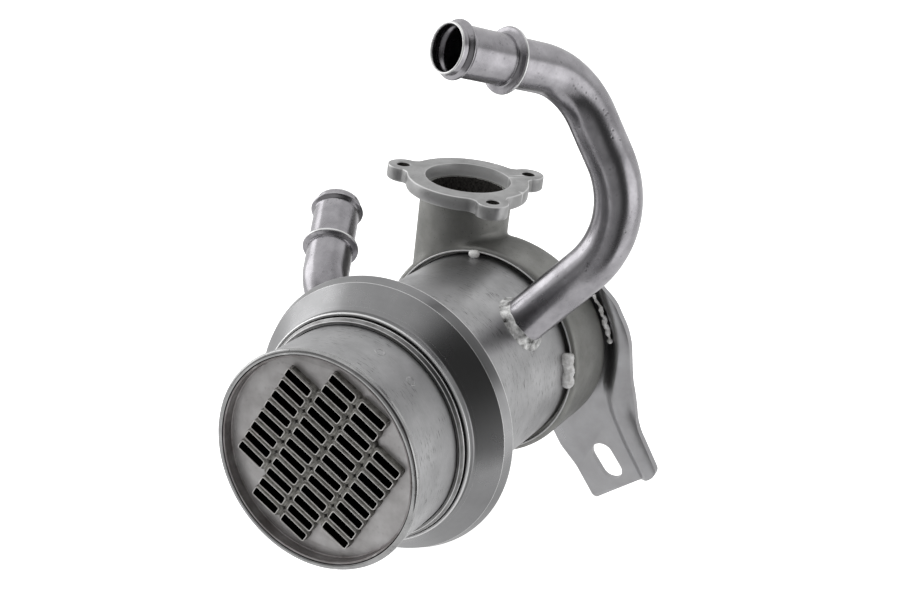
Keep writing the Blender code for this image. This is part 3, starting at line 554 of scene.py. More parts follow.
def shell_profile():
    """Up the outside, round the bead and back up the inside, in millimetres."""
    outer = math.degrees(math.acos((SHELL_R - BEAD_AT) / BEAD_R))
    inner = math.degrees(math.acos((SHELL_R - SHELL_WALL - BEAD_AT) / BEAD_R))
    down = np.linspace(SHELL_END, 3.0, WALL_ROWS)
    bead = arc((BEAD_AT, 0.0), BEAD_R, outer, -inner, BEAD_ROWS)
    return np.concatenate([joined(SHELL_R, down), bead, joined(SHELL_R - SHELL_WALL, down[::-1])])


points = turned(shell_profile(), STEPS)
away = unit(points * (1.0, 0.0, 1.0))
points += away * (0.06 * lumps(points, 16.0, 3) + 0.02 * lumps(points, 5.0, 4))[..., None]
shell = piece("shell_tube", points, rolled_sheet, ["shell"])
rows = np.arange(len(points))
rim = (rows >= WALL_ROWS - 1) & (rows < WALL_ROWS + BEAD_ROWS - 1)
repaint(shell, np.repeat(rim, STEPS), rolled_rim)

# %% Two ring-shaped spot marks on the sleeve
SPOT_MARKS = ((74.1, 20.2), (52.8, 19.8))    # degrees from X, and y
SPOT_R, SPOT_THICK = 1.9, 0.32
for number, (degrees, y) in enumerate(SPOT_MARKS, start=1):
    a, b = np.meshgrid(round_angles(32), round_angles(8), indexing="ij")
    out = SPOT_R + SPOT_THICK * np.cos(b)
    phi = math.radians(degrees) + out * np.cos(a) / SHELL_R
    radius = SHELL_R - 0.02 + 0.17 * np.sin(b)
    points = joined(radius * np.cos(phi), y + out * np.sin(a), radius * np.sin(phi))
    piece("spot_mark_%d" % number, points, rolled_sheet, sharp=80.0)

# %% Ring and collar
FIT_R = 45.3
# corners of the two sections: distance from the axis, y, and how round the corner is
RING = ((FIT_R, 31.5, 0.2), (46.5, 31.5, 0.6), (47.6, 32.9, 0.7), (47.6, 36.4, 0.2), (FIT_R, 36.4, 0.2))
COLLAR = ((FIT_R, 56.4, 0.2), (46.6, 56.4, 0.4), (58.6, 52.6, 0.5), (59.8, 51.4, 0.8), (58.0, 47.0, 0.8),
          (50.6, 38.8, 1.4), (49.3, 37.4, 1.3), (49.3, 34.0, 0.9), (48.0, 34.0, 0.3), (48.0, 36.8, 0.3),
          (FIT_R, 36.8, 0.2))
# Outer corners of both sections carry a painted highlight along with their rubbing.
for name, corners, per_corner, material, slot, node in (
        ("seat_ring_turned", RING, 7, ring_steel, "satin_stainless", "seat_ring"),
        ("collar_turned", COLLAR, 9, turned_steel, "machined_steel", "collar")):
    points = turned(rounded(corners, per_corner), STEPS)
    piece(name, points, material, [node], 50.0, np.repeat(corner_wear(corners, per_corner), STEPS))
print("collar points:", points.shape[0] * STEPS)

# %% [markdown]
# ## Coolant pipes
# A pipe is a circle carried along a line of straight legs and bends. Near the hose end the wall
# was pushed out twice: a bead that keeps the hose on and a ring that stops it. So the radius is
# a function of the distance from the end.


# %% Route and sweep
def bent_line(corners, bends, step=0.1):
    """Points a step apart on straight legs joined by arcs that touch both, in millimetres."""
    def leg(start, end):
        """Even points on the straight from start to end."""
        return start + (end - start) * np.linspace(0, 1, int(np.linalg.norm(end - start) / step))[:, None]

    corners = np.asarray(corners, dtype=float)
    stretches, start = [], corners[0]
    for i, radius in enumerate(bends, start=1):
        coming, going = unit(corners[i] - corners[i - 1]), unit(corners[i + 1] - corners[i])
        turn = np.arccos(coming @ going)
        first = corners[i] - coming * radius * np.tan(turn / 2.0)
        inwards = unit(going - coming * (going @ coming))
        stretches.append(leg(start, first))
        angle = np.linspace(0, turn, int(turn * radius / step))[:, None]
        stretches.append(first + coming * radius * np.sin(angle) + inwards * radius * (1.0 - np.cos(angle)))
        start = stretches[-1][-1]
    line = np.concatenate([*stretches, leg(start, corners[-1])])
    return line[np.r_[True, np.diff(run_of(line)) > 1e-6]]


def stations(line, distances, sides=96):
    """Centres at the distances along the line, and spokes there: side * cos + across * sin. Each station's side
    is the last one with its part along the line removed, so the sweep doesn't twist."""
    run = run_of(line)
    slope = np.gradient(line, axis=0)
    inside = np.clip(distances, 0.0, run[-1])
    centres, tangents = (joined(*(np.interp(inside, run, values[:, k]) for k in range(3)))
                         for values in (line, slope))
    tangents = unit(tangents)
    centres = centres + tangents * (distances - inside)[:, None]
    side, found = np.cross(tangents[0], (0.0, 0.0, 1.0)), []
    for tangent in tangents:
        side = unit(side - tangent * (side @ tangent))
        found.append(side)
    side, across = np.array(found)[:, None], np.cross(tangents, found)[:, None]
    angle = round_angles(sides)[None, :, None]
    return centres[:, None], side * np.cos(angle) + across * np.sin(angle)


# %% The two pipes
PIPE_R, PIPE_WALL, HOSE_BEAD_AT = 10.0, 1.0, 4.6
FOOT = 2.4    # how far a pipe reaches into the shell
# each pipe's foot on the shell, where its straight legs would meet, and its hose end
LONG_CORNERS = ((31.259, 108.5, 32.370), (73.723, 115.429, 85.811), (40.525, 104.903, 143.571),
                (12.518, 47.105, 158.896))
SHORT_CORNERS = ((-35.939, 71.4, 27.082), (-46.322, 71.4, 34.905), (-67.358, 113.629, 58.034))


def swell(distance, width):
    """A smooth hump, 1 at its middle and 0 at half a width away: half of 1 + cos."""
    return 0.5 + 0.5 * np.cos(np.pi * clamp(np.abs(distance) / (width / 2.0)))


def stop_ring(q):
    """1 at the ring's rim: a hollow ramp on the hose's side, a round rim, and a steep wall behind it."""
    rim_half, shoulder = 0.8, 0.84
    slope = shoulder * clamp((q + 2.7) / 1.9) ** 3
    rim = shoulder + (1.0 - shoulder) * np.sqrt(1.0 - np.clip(q / rim_half, -1.0, 1.0) ** 2)
    wall = shoulder * clamp((1.9 - q) / 1.1) ** 2
    return np.where(q < -rim_half, slope, np.where(q > rim_half, wall, rim))


def hose_pipe(name, corners, bends, stop_at, stop_rise, node, seed):
    """Outside to the lip, round it, and back down the bore, as one closed sheet of circles along the line.

    stop_at is the stop ring's distance from the end, and stop_rise its height.
    """
    line = bent_line(corners, bends)
    total = run_of(line)[-1]
    ring = total - stop_at
    # stations closer together at the stop ring and towards the end
    out = np.concatenate([np.arange(-FOOT, ring - 3.5, 0.9), np.arange(ring - 3.5, ring + 3.5, 0.14),
                          np.arange(ring + 3.5, total - 0.8, 0.24)])
    end = total - out
    outer = PIPE_R + 1.6 * swell(end - HOSE_BEAD_AT, 4.4) + stop_rise * stop_ring(end - stop_at)
    outer -= 0.3 * clamp(1.0 - end / 2.0) ** 2
    inner = PIPE_R - PIPE_WALL + 1.2 * swell(end - HOSE_BEAD_AT, 4.0) + 0.5 * stop_rise * swell(end - stop_at, 2.2)
    inner += 0.1 * clamp(1.0 - end / 2.0)
    lip = np.radians(np.linspace(10.0, 170.0, 7))
    lip_r = (outer[-1] + inner[-1]) / 2.0 + (outer[-1] - inner[-1]) / 2.0 * np.cos(lip)
    centres, spokes = stations(line, np.concatenate([out, total - 0.55 + 0.55 * np.sin(lip)]))
    skin = centres + spokes * np.concatenate([outer, lip_r])[:, None, None]
    skin = skin + spokes * (0.05 * lumps(skin, 7.0, seed))[..., None]
    bore = (centres[:len(out)] + spokes[:len(out)] * inner[:, None, None])[::-1]
    # Rubbing plus a painted highlight on the stop ring's rim and all round the lip.
    worn = np.concatenate([clamp(1.0 - np.abs(end - stop_at)), np.ones(len(lip)), 0.0 * inner])
    piece(name, np.concatenate([skin, bore]), drawn_tube, [node], 60.0,
          np.repeat(worn, skin.shape[1]))
    print(name + ":", round(total, 1), "mm long")


hose_pipe("long_pipe_drawn", LONG_CORNERS, (44.5, 34.0), 29.5, 3.2, "long_coolant_pipe", 11)
hose_pipe("short_pipe_drawn", SHORT_CORNERS, (24.0,), 27.0, 2.2, "short_coolant_pipe", 12)

# %% Braze at the foot of each pipe
FILLET_ROWS, SUNK = 15, 0.4


def foot_braze(name, base, way, height, width, node, seed, sides=160):
    """A fillet from the pipe's wall down to the shell. Each point slides along the pipe until it meets
    a cylinder about the Y axis whose radius is the shell's plus the fillet's rise there."""
    way = unit(np.array(way))
    side = unit(np.cross(way, (0.0, 1.0, 0.0)))
    across = np.cross(way, side)
    angle = round_angles(sides)
    spokes = side * np.cos(angle)[:, None] + across * np.sin(angle)[:, None]
    t = np.linspace(0.0, 1.0, FILLET_ROWS)[:, None]
    ring = joined(np.cos(angle), np.sin(angle), 0.0)
    vary = 1.0 + 0.12 * lumps(ring, 0.7, seed) + 0.03 * lumps(ring, 0.2, seed + 1)
    out = PIPE_R - 0.05 + width * vary * t ** 1.15
    rise = height * vary * (1.0 - t) ** 1.8
    out = np.concatenate([out, out[-1:] - 0.2, np.full((1, sides), PIPE_R - SUNK)])
    rise = np.concatenate([rise, np.full((2, sides), -SUNK)])
    origin = np.array(base) + spokes * out[..., None]
    a = way[0] ** 2 + way[2] ** 2
    b = origin[..., 0] * way[0] + origin[..., 2] * way[2]
    c = origin[..., 0] ** 2 + origin[..., 2] ** 2 - (SHELL_R + rise) ** 2
    points = origin + way * ((-b + np.sqrt(b * b - a * c)) / a)[..., None]
    push = 0.16 * lumps(points, 2.4, seed + 2) + 0.04 * lumps(points, 0.9, seed + 3)
    push[:FILLET_ROWS] *= 1.0 - t
    push[-2:] = 0.0
    points += (spokes * 0.7 + way * 0.7) * push[..., None]
    piece(name, points, braze_metal, [node], sharp=70.0)


foot_braze("long_pipe_braze_laid", LONG_CORNERS[0], (0.619, 0.101, 0.779), 3.4, 2.9, "long_pipe_braze", 21)
foot_braze("short_pipe_braze_laid", SHORT_CORNERS[0], (-0.799, 0.0, 0.602), 2.2, 2.6, "short_pipe_braze", 27)

# %% [markdown]
# ## Tube bundle
# Forty folded flat tubes stand 3 mm out of a pierced sheet. Braze ran into the corners between
# tube and sheet. Past a bare mouth, their bores are painted near black as the shade deep inside.

# %% Gas tubes
GRID_TURN = math.radians(26.8)
TUBE_W, TUBE_H, TUBE_CORNER, TUBE_WALL = 13.2, 4.6, 1.1, 0.45
COLUMN_PITCH, ROW_PITCH, COLUMN_ROWS = 15.6, 6.1, (8, 12, 12, 8)
TUBE_END, FRONT_END = 131.5, 20.0
BARE_MOUTH = 1.6


def tube_centres():
    """The middles (u, v) of the columns and rows, turned by the grid's angle."""
    centres = [joined((column - 1.5) * COLUMN_PITCH, (np.arange(rows) - (rows - 1) / 2.0) * ROW_PITCH)
               for column, rows in enumerate(COLUMN_ROWS)]
    return turned_flat(np.concatenate(centres), -GRID_TURN)


def tube_outline(grow, per_corner=6):
    """Rounded rectangle of the tube, grown outwards on all sides."""
    w, h, r = TUBE_W / 2.0 + grow, TUBE_H / 2.0 + grow, max(TUBE_CORNER + grow, 0.25)
    return rounded([(w, h, r), (-w, h, r), (-w, -h, r), (w, -h, r)], per_corner)


def neighbour_shares(alone=0.3, column_share=1.6):
    """For each tube, how far a web reaches at its four sides: fully to a neighbour, a little where it has none."""
    shares = []
    for column, rows in enumerate(COLUMN_ROWS):
        row = np.arange(rows) - (rows - 1) / 2.0
        side = [np.where(np.abs(row) < (COLUMN_ROWS[other] if 0 <= other < len(COLUMN_ROWS) else 0) / 2.0,
                         column_share, alone) for other in (column + 1, column - 1)]
        shares.append(joined(*side, np.where(row < rows / 2.0 - 1.0, 1.0, alone),
                             np.where(row > 1.0 - rows / 2.0, 1.0, alone)))
    return np.concatenate(shares)


def rings_round_tubes(sections, jitter, seed, webbed=False):
    """Rings round every tube: outline(grow) turned to the grid and set at y, for each (grow, y) of the section.

    A webbed ring grows by its shares: each half of the outline moves by sign * grow * (share - 1)."""
    centres = tube_centres()
    rng = np.random.default_rng(seed)
    lean = (rng.normal(0.0, 0.012, len(centres)) - GRID_TURN)[:, None, None]
    shift = rng.normal(0.0, jitter, len(centres))[:, None, None]
    rings = np.tile(np.stack([tube_outline(grow) for grow, _ in sections])[None], (len(centres), 1, 1, 1))
    if webbed:
        right, left, up, down = (share[:, None, None] - 1.0 for share in neighbour_shares().T)
        grow = np.array([grow for grow, _ in sections])[None, :, None]
        rings[..., 0] += grow * np.where(rings[..., 0] > 0.0, right, -left)
        rings[..., 1] += grow * np.where(rings[..., 1] > 0.0, up, -down)
    flat = turned_flat(rings, lean, *centres.T[..., None, None])
    y = np.array([place for _, place in sections])[None, :, None]
    depth = y + np.where(y < FRONT_END, 1.0, 0.0) * shift
    return joined(flat[..., 0], depth, flat[..., 1])


def many_rings(points):
    """Faces for each tube's closed sheet, numbered one tube after the other."""
    tubes, rows, columns = points.shape[:3]
    return (closed_sheet(points[0])[None] + (np.arange(tubes) * rows * columns)[:, None, None]).reshape(-1, 4)


# grown by, and y: along the outside to the rounded mouth, and back along the inside
outside = [(0.0, TUBE_END), (0.0, 60.0), (0.0, 4.0), (0.0, 0.95), (-0.04, 0.72), (-0.13, 0.6)]
section = outside + [(-TUBE_WALL - grow, y) for grow, y in outside[::-1]]
points = rings_round_tubes(section, 0.14, 5)
shown = points[..., 1] < FRONT_END
points[..., 0] += 0.09 * lumps(points, 5.0, 31) * shown
points[..., 2] += 0.09 * lumps(points, 5.0, 32) * shown
tubes = piece("gas_tubes_folded", points, tube_strip,
              ["gas_tube_%02d" % i for i in range(1, len(points) + 1)], sharp=70.0, faces=many_rings(points))
middle, normal = (found.reshape(len(points), -1, 3) for found in centres_and_normals(tubes))
spoke = middle[..., ::2] - tube_centres()[:, None]
inwards = np.sum(spoke * normal[..., ::2], axis=-1) < -0.001
# Painted shade: the tubes' inner walls past the bare mouth turn near black.
repaint(tubes, inwards & (middle[..., 1] > BARE_MOUTH), soot)

# %% Front sheet: a pierced plate with its pressed corner and flange
SHEET_R, SHEET_Y, SHEET_T, FLANGE_T, FLANGE_Y, CORNER_R = 43.5, 3.6, 1.5, 0.9, -1.0, 1.6


def as_mesh(item, name):
    """The object's finished mesh with its place applied, on a new object at the origin."""
    bpy.context.view_layer.update()
    data = bpy.data.meshes.new_from_object(item.evaluated_get(bpy.context.evaluated_depsgraph_get()))
    data.name = name
    data.transform(item.matrix_world)
    bpy.data.objects.remove(item, do_unlink=True)
    return placed(name, data)


def filled(name, loops, depth, place=Matrix.Identity(4)):
    """Flat outlines, the inner ones as holes, given a depth: Blender fills them between front and back."""
    flat = bpy.data.curves.new(name, "CURVE")
    flat.dimensions, flat.fill_mode, flat.extrude = "2D", "BOTH", depth / 2.0 * MM
    for loop in loops:
        spline = flat.splines.new("POLY")
        spline.points.add(len(loop) - 1)
        spline.points.foreach_set("co", np.c_[loop * MM, np.zeros(len(loop)), np.ones(len(loop))].ravel())
        spline.use_cyclic_u = True
    item = placed(name, flat)
    item.matrix_world = place
    return as_mesh(item, name)


def welded(item):
    """Join the points that a filled curve leaves double along its edges, and turn all faces outwards."""
    net = bmesh.new()
    net.from_mesh(item.data)
    bmesh.ops.remove_doubles(net, verts=net.verts, dist=0.002 * MM)
    bmesh.ops.recalc_face_normals(net, faces=net.faces)
    net.to_mesh(item.data)
    net.free()
    return item


rim_in = SHEET_R - CORNER_R
slots = [turned_flat(tube_outline(0.3, per_corner=4), -GRID_TURN, x, z) for x, z in tube_centres()]
upright_plate = (Matrix.Translation((0.0, (SHEET_Y + SHEET_T / 2.0) * MM, 0.0)) @
                 Matrix.Rotation(math.pi / 2.0, 4, "X"))
plate = filled("front_sheet_plate", [arc((0.0, 0.0), rim_in, 0.0, 360.0, 193)[:-1], *slots], SHEET_T, upright_plate)
dressed(welded(plate), sheet_face, ["front_tube_sheet"])
rim_in -= 0.02
cup = rounded([(rim_in, SHEET_Y + SHEET_T, 0.05), (SHEET_R, SHEET_Y + SHEET_T, 1.5), (SHEET_R, FLANGE_Y, 0.3),
               (SHEET_R - FLANGE_T, FLANGE_Y, 0.3), (SHEET_R - FLANGE_T, SHEET_Y, 0.65), (rim_in, SHEET_Y, 0.02)])
piece("front_sheet_rim", turned(cup, STEPS), sheet_face, sharp=60.0)
print("slots:", len(slots))

# %% Braze between the tubes
# grown by, and y: down the fillet from the tube to the sheet, and back inside the metal
fillet = [(0.02, 1.1), (0.12, 1.3), (0.3, 1.45), (0.55, 1.55), (0.78, 1.7), (0.84, 2.4), (0.88, 3.1), (1.0, 3.5),
          (1.2, 3.62), (1.2, 3.8), (0.02, 3.8)]
points = rings_round_tubes(fillet, 0.0, 6, webbed=True)
points[..., 1] += (0.3 * lumps(points, 3.0, 41) + 0.15 * lumps(points, 1.0, 42)) * (points[..., 1] < 3.0)
piece("tube_braze_fillets", points, web_braze, sharp=70.0, faces=many_rings(points))
print("braze points:", points.size // 3)

# %% [markdown]
# ## Cast outlet
# The housing is a cup over the shell's end with an upright neck, cast in one piece, so the neck
# runs into the cup in a soft fillet. Turned solids give the form. Blender joins them and lays an
# even net of squares over the outside, and the net is then smoothed most where neck and cup meet.

# %% Solids of the casting
LIP_Y, LIP_R, SIDE_R, DEPTH = 133.3, 47.4, 49.5, 39.0
BACK_SLOPE = 0.2
NECK_AT = (-25.0, 154.5)
NECK_R, BORE_R, MOUTH_R = 20.8, 17.7, 19.4
FLANGE_TOP, FLANGE_THICK = 71.3, 6.5


def cup_profile(lip_r, side_r, front_y, back_y, lip_round, edge, count=14):
    """Side view of a solid cup from its front's middle to its back's: lip drawn in, rear edge rounded."""
    turn = np.linspace(0.0, 1.0, 8) * np.pi / 2.0
    lip = joined(lip_r + (side_r - lip_r) * np.sin(turn), front_y + lip_round * (1.0 - np.cos(turn)))
    side = joined(side_r, np.linspace(front_y + lip_round + 1.0, back_y - edge - 1.0, 12))
    rounding = arc((side_r - edge, back_y - edge), edge, 0.0, 90.0, count)
    return np.concatenate([[(0.0, front_y)], lip, side, rounding, [(0.0, back_y)]])


def sloped(points, front_y, depth):
    """The back leans: y moves by -slope * z * share, where share runs from 0 at the front to 1 at the back."""
    reach = clamp((points[..., 1] - front_y) / depth)
    moved = points.copy()
    moved[..., 1] -= BACK_SLOPE * points[..., 2] * reach
    return moved


def solid(name, points):
    """A closed solid from turned rows in millimetres whose first and last row shrink to one point each."""
    points = points * MM
    rows, columns = points.shape[0] - 2, points.shape[1]
    body = points[1:-1].reshape(-1, 3)
    count, last = len(body), (rows - 1) * columns
    net = grid_faces(rows, columns)
    faces = outward(body, net)
    ring = np.arange(columns)
    after = (ring + 1) % columns
    fans = np.concatenate([joined(ring, count, after), joined(last + after, count + 1, last + ring)])
    if not np.array_equal(faces[0], net[0]):
        fans = fans[:, ::-1]
    return meshed(name, np.concatenate([body, points[0, :1], points[-1, :1]]), faces.tolist() + fans.tolist())


def upright(profile, steps, at=NECK_AT):
    """Each (radius, z) turned about an upright axis, the neck's or another."""
    angle = round_angles(steps)
    radius, z = np.asarray(profile)[:, :1], np.asarray(profile)[:, 1:]
    return joined(at[0] + radius * np.cos(angle), at[1] + radius * np.sin(angle), z)


def round_ended(radius, top, *between):
    """Side view of an upright rod: flat on top, straight down, and rounded off below like a ball."""
    return np.concatenate([[(0.0, top), (radius, top), *between],
                           arc((0.0, NECK_TURNS), radius, 0.0, -80.0, 12), [(0.0, NECK_TURNS - radius)]])


def cut(item, other, operation):
    """Join or cut with another solid, which is removed afterwards."""
    step = item.modifiers.new(operation.lower(), "BOOLEAN")
    step.operation, step.solver, step.object = operation, "EXACT", other
    done = as_mesh(item, item.name)
    bpy.data.objects.remove(other, do_unlink=True)
    return done


NECK_TOP, NECK_TURNS = 65.4, 8.0    # the neck's end under the flange, and where its foot starts to round off
NET_SQUARE = 0.8
neck_side = round_ended(NECK_R, NECK_TOP, (NECK_R, 40.0))
outer = solid("outlet_cast", sloped(turned(cup_profile(LIP_R, SIDE_R, LIP_Y, LIP_Y + DEPTH, 2.7, 10.0), 160),
                                    LIP_Y, DEPTH))
outer = cut(outer, solid("neck_solid", upright(neck_side, 120)), "UNION")
net = outer.modifiers.new("net", "REMESH")
net.mode, net.voxel_size, net.use_smooth_shade = "VOXEL", NET_SQUARE * MM, True
outer = as_mesh(outer, "outlet_cast")
print("net points:", len(outer.data.vertices))


# %% Soften the seam and let the cast skin wander
def smoothed(item, weight_of, rounds):
    """Each round moves a point towards the mean of its neighbours, by the weight that its place gives it."""
    data = item.data
    points = np.empty(len(data.vertices) * 3)
    data.vertices.foreach_get("co", points)
    points = points.reshape(-1, 3)
    edges = np.empty(len(data.edges) * 2, dtype=np.int64)
    data.edges.foreach_get("vertices", edges)
    a, b = edges.reshape(-1, 2).T
    count = np.bincount(a, minlength=len(points)) + np.bincount(b, minlength=len(points))
    weight = weight_of(points / MM)[:, None]
    for _ in range(rounds):
        total = joined(*(np.bincount(a, points[b, k], len(points)) + np.bincount(b, points[a, k], len(points))
                         for k in range(3)))
        points = points + weight * (total / count[:, None] - points)
    data.vertices.foreach_set("co", points.ravel())
    data.update()


def seam_weight(p, reach=5.0, weak=0.12, strong=0.75, top=64.0):
    """Strong within reach of both the neck's wall and the cup's side, weak elsewhere, and nothing above the top."""
    off_neck = np.abs(np.hypot(p[:, 0] - NECK_AT[0], p[:, 1] - NECK_AT[1]) - NECK_R)
    off_cup = np.abs(np.hypot(p[:, 0], p[:, 2]) - SIDE_R)
    near = clamp(1.0 - off_neck / reach) * clamp(1.0 - off_cup / reach) * (p[:, 2] > 0.0)
    return np.clip(weak + strong * near ** 0.5, 0.0, strong) * (p[:, 2] < top)


smoothed(outer, seam_weight, 14)

# %% Hollow it: chamber, seat for the shell, groove behind the lip and bore
CHAMBER_Y, CAST_WALL = SHELL_END + 1.0, 3.6
chamber_back = LIP_Y + DEPTH - CAST_WALL
chamber = cup_profile(LIP_R - CAST_WALL, SIDE_R - CAST_WALL, CHAMBER_Y, chamber_back, 8.0, 6.4)
chamber = solid("chamber", sloped(turned(chamber, 96), CHAMBER_Y, LIP_Y + DEPTH - CHAMBER_Y))
seat = np.array([(0.0, LIP_Y - 1.0), (FIT_R + 1.5, LIP_Y - 1.0), (FIT_R + 1.5, LIP_Y + 3.0), (FIT_R, LIP_Y + 3.0),
                 (FIT_R, CHAMBER_Y + 0.5), (0.0, CHAMBER_Y + 0.5)])
hollow = cut(chamber, solid("neck_bore", upright(round_ended(BORE_R, 70.0), 90)), "UNION")
hollow = cut(hollow, solid("shell_seat", turned(seat, 150)), "UNION")
outer = cut(outer, hollow, "DIFFERENCE")
smooth(outer, 42.0)
dressed(outer, cast_skin, ["outlet_housing"])


# %% Painted shade in the chamber and the bore
def inside_hole(item, x, y, radius, low, high):
    """Faces that look at an upright hole's axis: near it, between two heights, with the normal against the spoke."""
    middle, normal = centres_and_normals(item)
    spoke = middle[:, :2] - (x, y)
    looks_in = np.sum(spoke * normal[:, :2], axis=-1) < 0.0
    return looks_in & (np.hypot(*spoke.T) < radius) & (middle[:, 2] > low) & (middle[:, 2] < high)


CHAMBER_MIDDLE, CHAMBER_R = (0.0, 150.0, 0.0), 46.2
middle, normal = centres_and_normals(outer)
chamber_faces = np.sum((middle - CHAMBER_MIDDLE) * normal, axis=-1) < 0.0
chamber_faces &= np.hypot(middle[:, 0], middle[:, 2]) < CHAMBER_R
bore_faces = inside_hole(outer, *NECK_AT, BORE_R + 0.3, 12.0, 70.0)
repaint(outer, chamber_faces | bore_faces, sooted_casting)

# %% Rolled edge of the lip
# The whole lip ring is lightened as a painted highlight along its edge.
LIP_WEAR = 0.62
points = turned(arc((LIP_R - 0.35, LIP_Y + 0.15), 0.4, 0.0, 360.0, 17)[:-1], STEPS)
piece("outlet_lip_edge", points, milled_face, sharp=60.0, worn=np.full(points.shape[:2], LIP_WEAR))
print("lip points:", points.size // 3)

# %% Milled flange with three lugs
FLANGE_R, LUG_R, LUG_PITCH, LUG_BLEND = 27.9, 7.2, 31.3, math.radians(7.0)
LUG_ANGLES = np.radians([-169.8, -41.4, 55.3])
HOLE_R, HOLE_EDGE = 3.0, 0.4
FLANGE_LOW = FLANGE_TOP - FLANGE_THICK


def flange_edge(angle):
    """Edge from the flange's middle: the disc's radius or, near a lug, the far side of the lug's circle."""
    reach = np.full_like(angle, FLANGE_R)
    half = math.asin(LUG_R / LUG_PITCH)
    for lug in LUG_ANGLES:
        off = np.abs((angle - lug + np.pi) % (2.0 * np.pi) - np.pi)
        near = np.minimum(off, half)
        far = LUG_PITCH * np.cos(near) + np.sqrt(np.maximum(LUG_R ** 2 - (LUG_PITCH * np.sin(near)) ** 2, 0.0))
        fade = clamp((off - half) / LUG_BLEND)
        reach = np.maximum(reach, np.where(off > half, FLANGE_R + (far - FLANGE_R) * (1.0 - fade) ** 2, far))
    return reach


def flange_rows(edge):
    """Rows (radius, z, rubbing and painted highlight) from the bore's foot over the top, down the edge and back
    underneath.
    """
    for radius, z, wear in ((MOUTH_R, FLANGE_LOW, 0.0), (MOUTH_R, FLANGE_TOP - 0.45, 0.2),
                            (MOUTH_R + 0.13, FLANGE_TOP - 0.13, 0.6), (MOUTH_R + 0.45, FLANGE_TOP, 0.3)):
        yield np.full_like(edge, radius), z, wear
    for share in (0.35, 0.7):
        yield MOUTH_R + (edge - 0.6 - MOUTH_R) * share, FLANGE_TOP, 0.0
    for inset, z, wear in ((0.6, FLANGE_TOP, 0.2), (0.3, FLANGE_TOP - 0.08, 0.7), (0.08, FLANGE_TOP - 0.3, 0.7),
                           (0.0, FLANGE_TOP - 0.6, 0.3), (0.0, FLANGE_LOW + 0.9, 0.0),
                           (0.26, FLANGE_LOW + 0.26, 0.5), (0.9, FLANGE_LOW, 0.0)):
        yield edge - inset, z, wear


# The corners of the lugs need closer points than the disc.
lug_span = 2.0 * LUG_BLEND * np.linspace(-1, 1, 61)
angle = np.concatenate([round_angles(180)] + [(lug + lug_span) % (2.0 * np.pi) for lug in LUG_ANGLES])
angle = np.unique(np.round(angle, 5))
rows = list(flange_rows(flange_edge(angle)))
points = np.stack([joined(NECK_AT[0] + radius * np.cos(angle), NECK_AT[1] + radius * np.sin(angle), z)
                   for radius, z, _ in rows])
flange = piece("outlet_flange_milled", points, milled_face,
               worn=np.repeat([wear for _, _, wear in rows], len(angle)))
hole_side = ((0.0, 60.0), (HOLE_R, 60.0), (HOLE_R, FLANGE_TOP - HOLE_EDGE), (HOLE_R + HOLE_EDGE, FLANGE_TOP),
             (HOLE_R + HOLE_EDGE, 75.0), (0.0, 75.0))
holes = [(NECK_AT[0] + LUG_PITCH * math.cos(lug), NECK_AT[1] + LUG_PITCH * math.sin(lug)) for lug in LUG_ANGLES]
for hole in holes:
    flange = cut(flange, solid("bolt_hole", upright(hole_side, 48, hole)), "DIFFERENCE")
smooth(flange, 30.0)
dressed(flange, milled_face)
# Painted shade on the bolt holes' walls.
repaint(flange, sum(inside_hole(flange, *hole, HOLE_R + 0.1, 60.0, 72.0) for hole in holes) > 0, sooted_casting)

# %% [markdown]
# ## Bracket
# Thick sheet, pressed: a flat web lies against the casting's sloping back, a rib turns along
# its outer edge, and a slot takes the bolt. The sheet is drawn across its rib line, given its
# thickness, and cut to its outline.

# %% Bracket
BRACKET_Y, SHEET = 172.6, 2.5
RIB_H, RIB_FLANK, RIB_FALL, FULL_FALL_AT = 5.0, 8.5, 0.5, 6.0
EDGE_X = 49.0
# x from EDGE_X and height in the sheet's plane: the rib's ridge, the web's far border, and the outline's corners,
# which also have a radius
RIB_LINE = ((-8.4, 47.0), (-4.4, 36.0), (1.5, 22.8), (5.2, 10.5), (6.1, -4.0), (5.6, -17.0),
            (7.6, -27.0), (11.7, -36.0), (17.7, -46.8), (25.4, -59.4), (29.0, -65.5))
WEB_LINE = ((-43.0, 48.0), (-43.0, 36.0), (-43.0, 22.0), (-43.0, 8.0), (-43.0, -8.0), (-43.0, -24.0),
            (-43.0, -38.0), (-36.0, -50.0), (-27.0, -62.0), (-16.0, -78.0), (-8.0, -92.0))
OUTLINE = ((-9.0, 42.0, 5.0), (1.6, 31.0, 28.0), (9.9, 14.0, 44.0), (12.2, -12.0, 60.0), (16.6, -34.0, 40.0),
           (29.4, -56.9, 4.0), (-2.8, -86.0, 2.5), (-13.5, -70.0, 22.0), (-22.5, -60.8, 22.0), (-38.0, -34.0, 10.0),
           (-38.0, 22.0, 10.0))
SLOT_AT, SLOT_SIZE, SLOT_TURN = (2.25, -61.3), (20.0, 11.2), math.radians(-54.0)
ALONG, ACROSS, EDGE_ROUND = 120, 10, 0.45


def through(marks, count):
    """A smooth curve through marks: Catmull-Rom, each stretch the cubic given by its ends and their neighbours."""
    marks = np.asarray(marks, dtype=float)
    padded = np.concatenate([[2 * marks[0] - marks[1]], marks, [2 * marks[-1] - marks[-2]]])
    t = np.linspace(0.0, len(marks) - 1.0, count)
    i = np.minimum(t.astype(int), len(marks) - 2)
    f = (t - i)[:, None]
    a, b, c, d = (padded[i + k] for k in range(4))
    return 0.5 * (2 * b + (c - a) * f + (2 * a - 5 * b + 4 * c - d) * f ** 2 + (3 * b - a - 3 * c + d) * f ** 3)


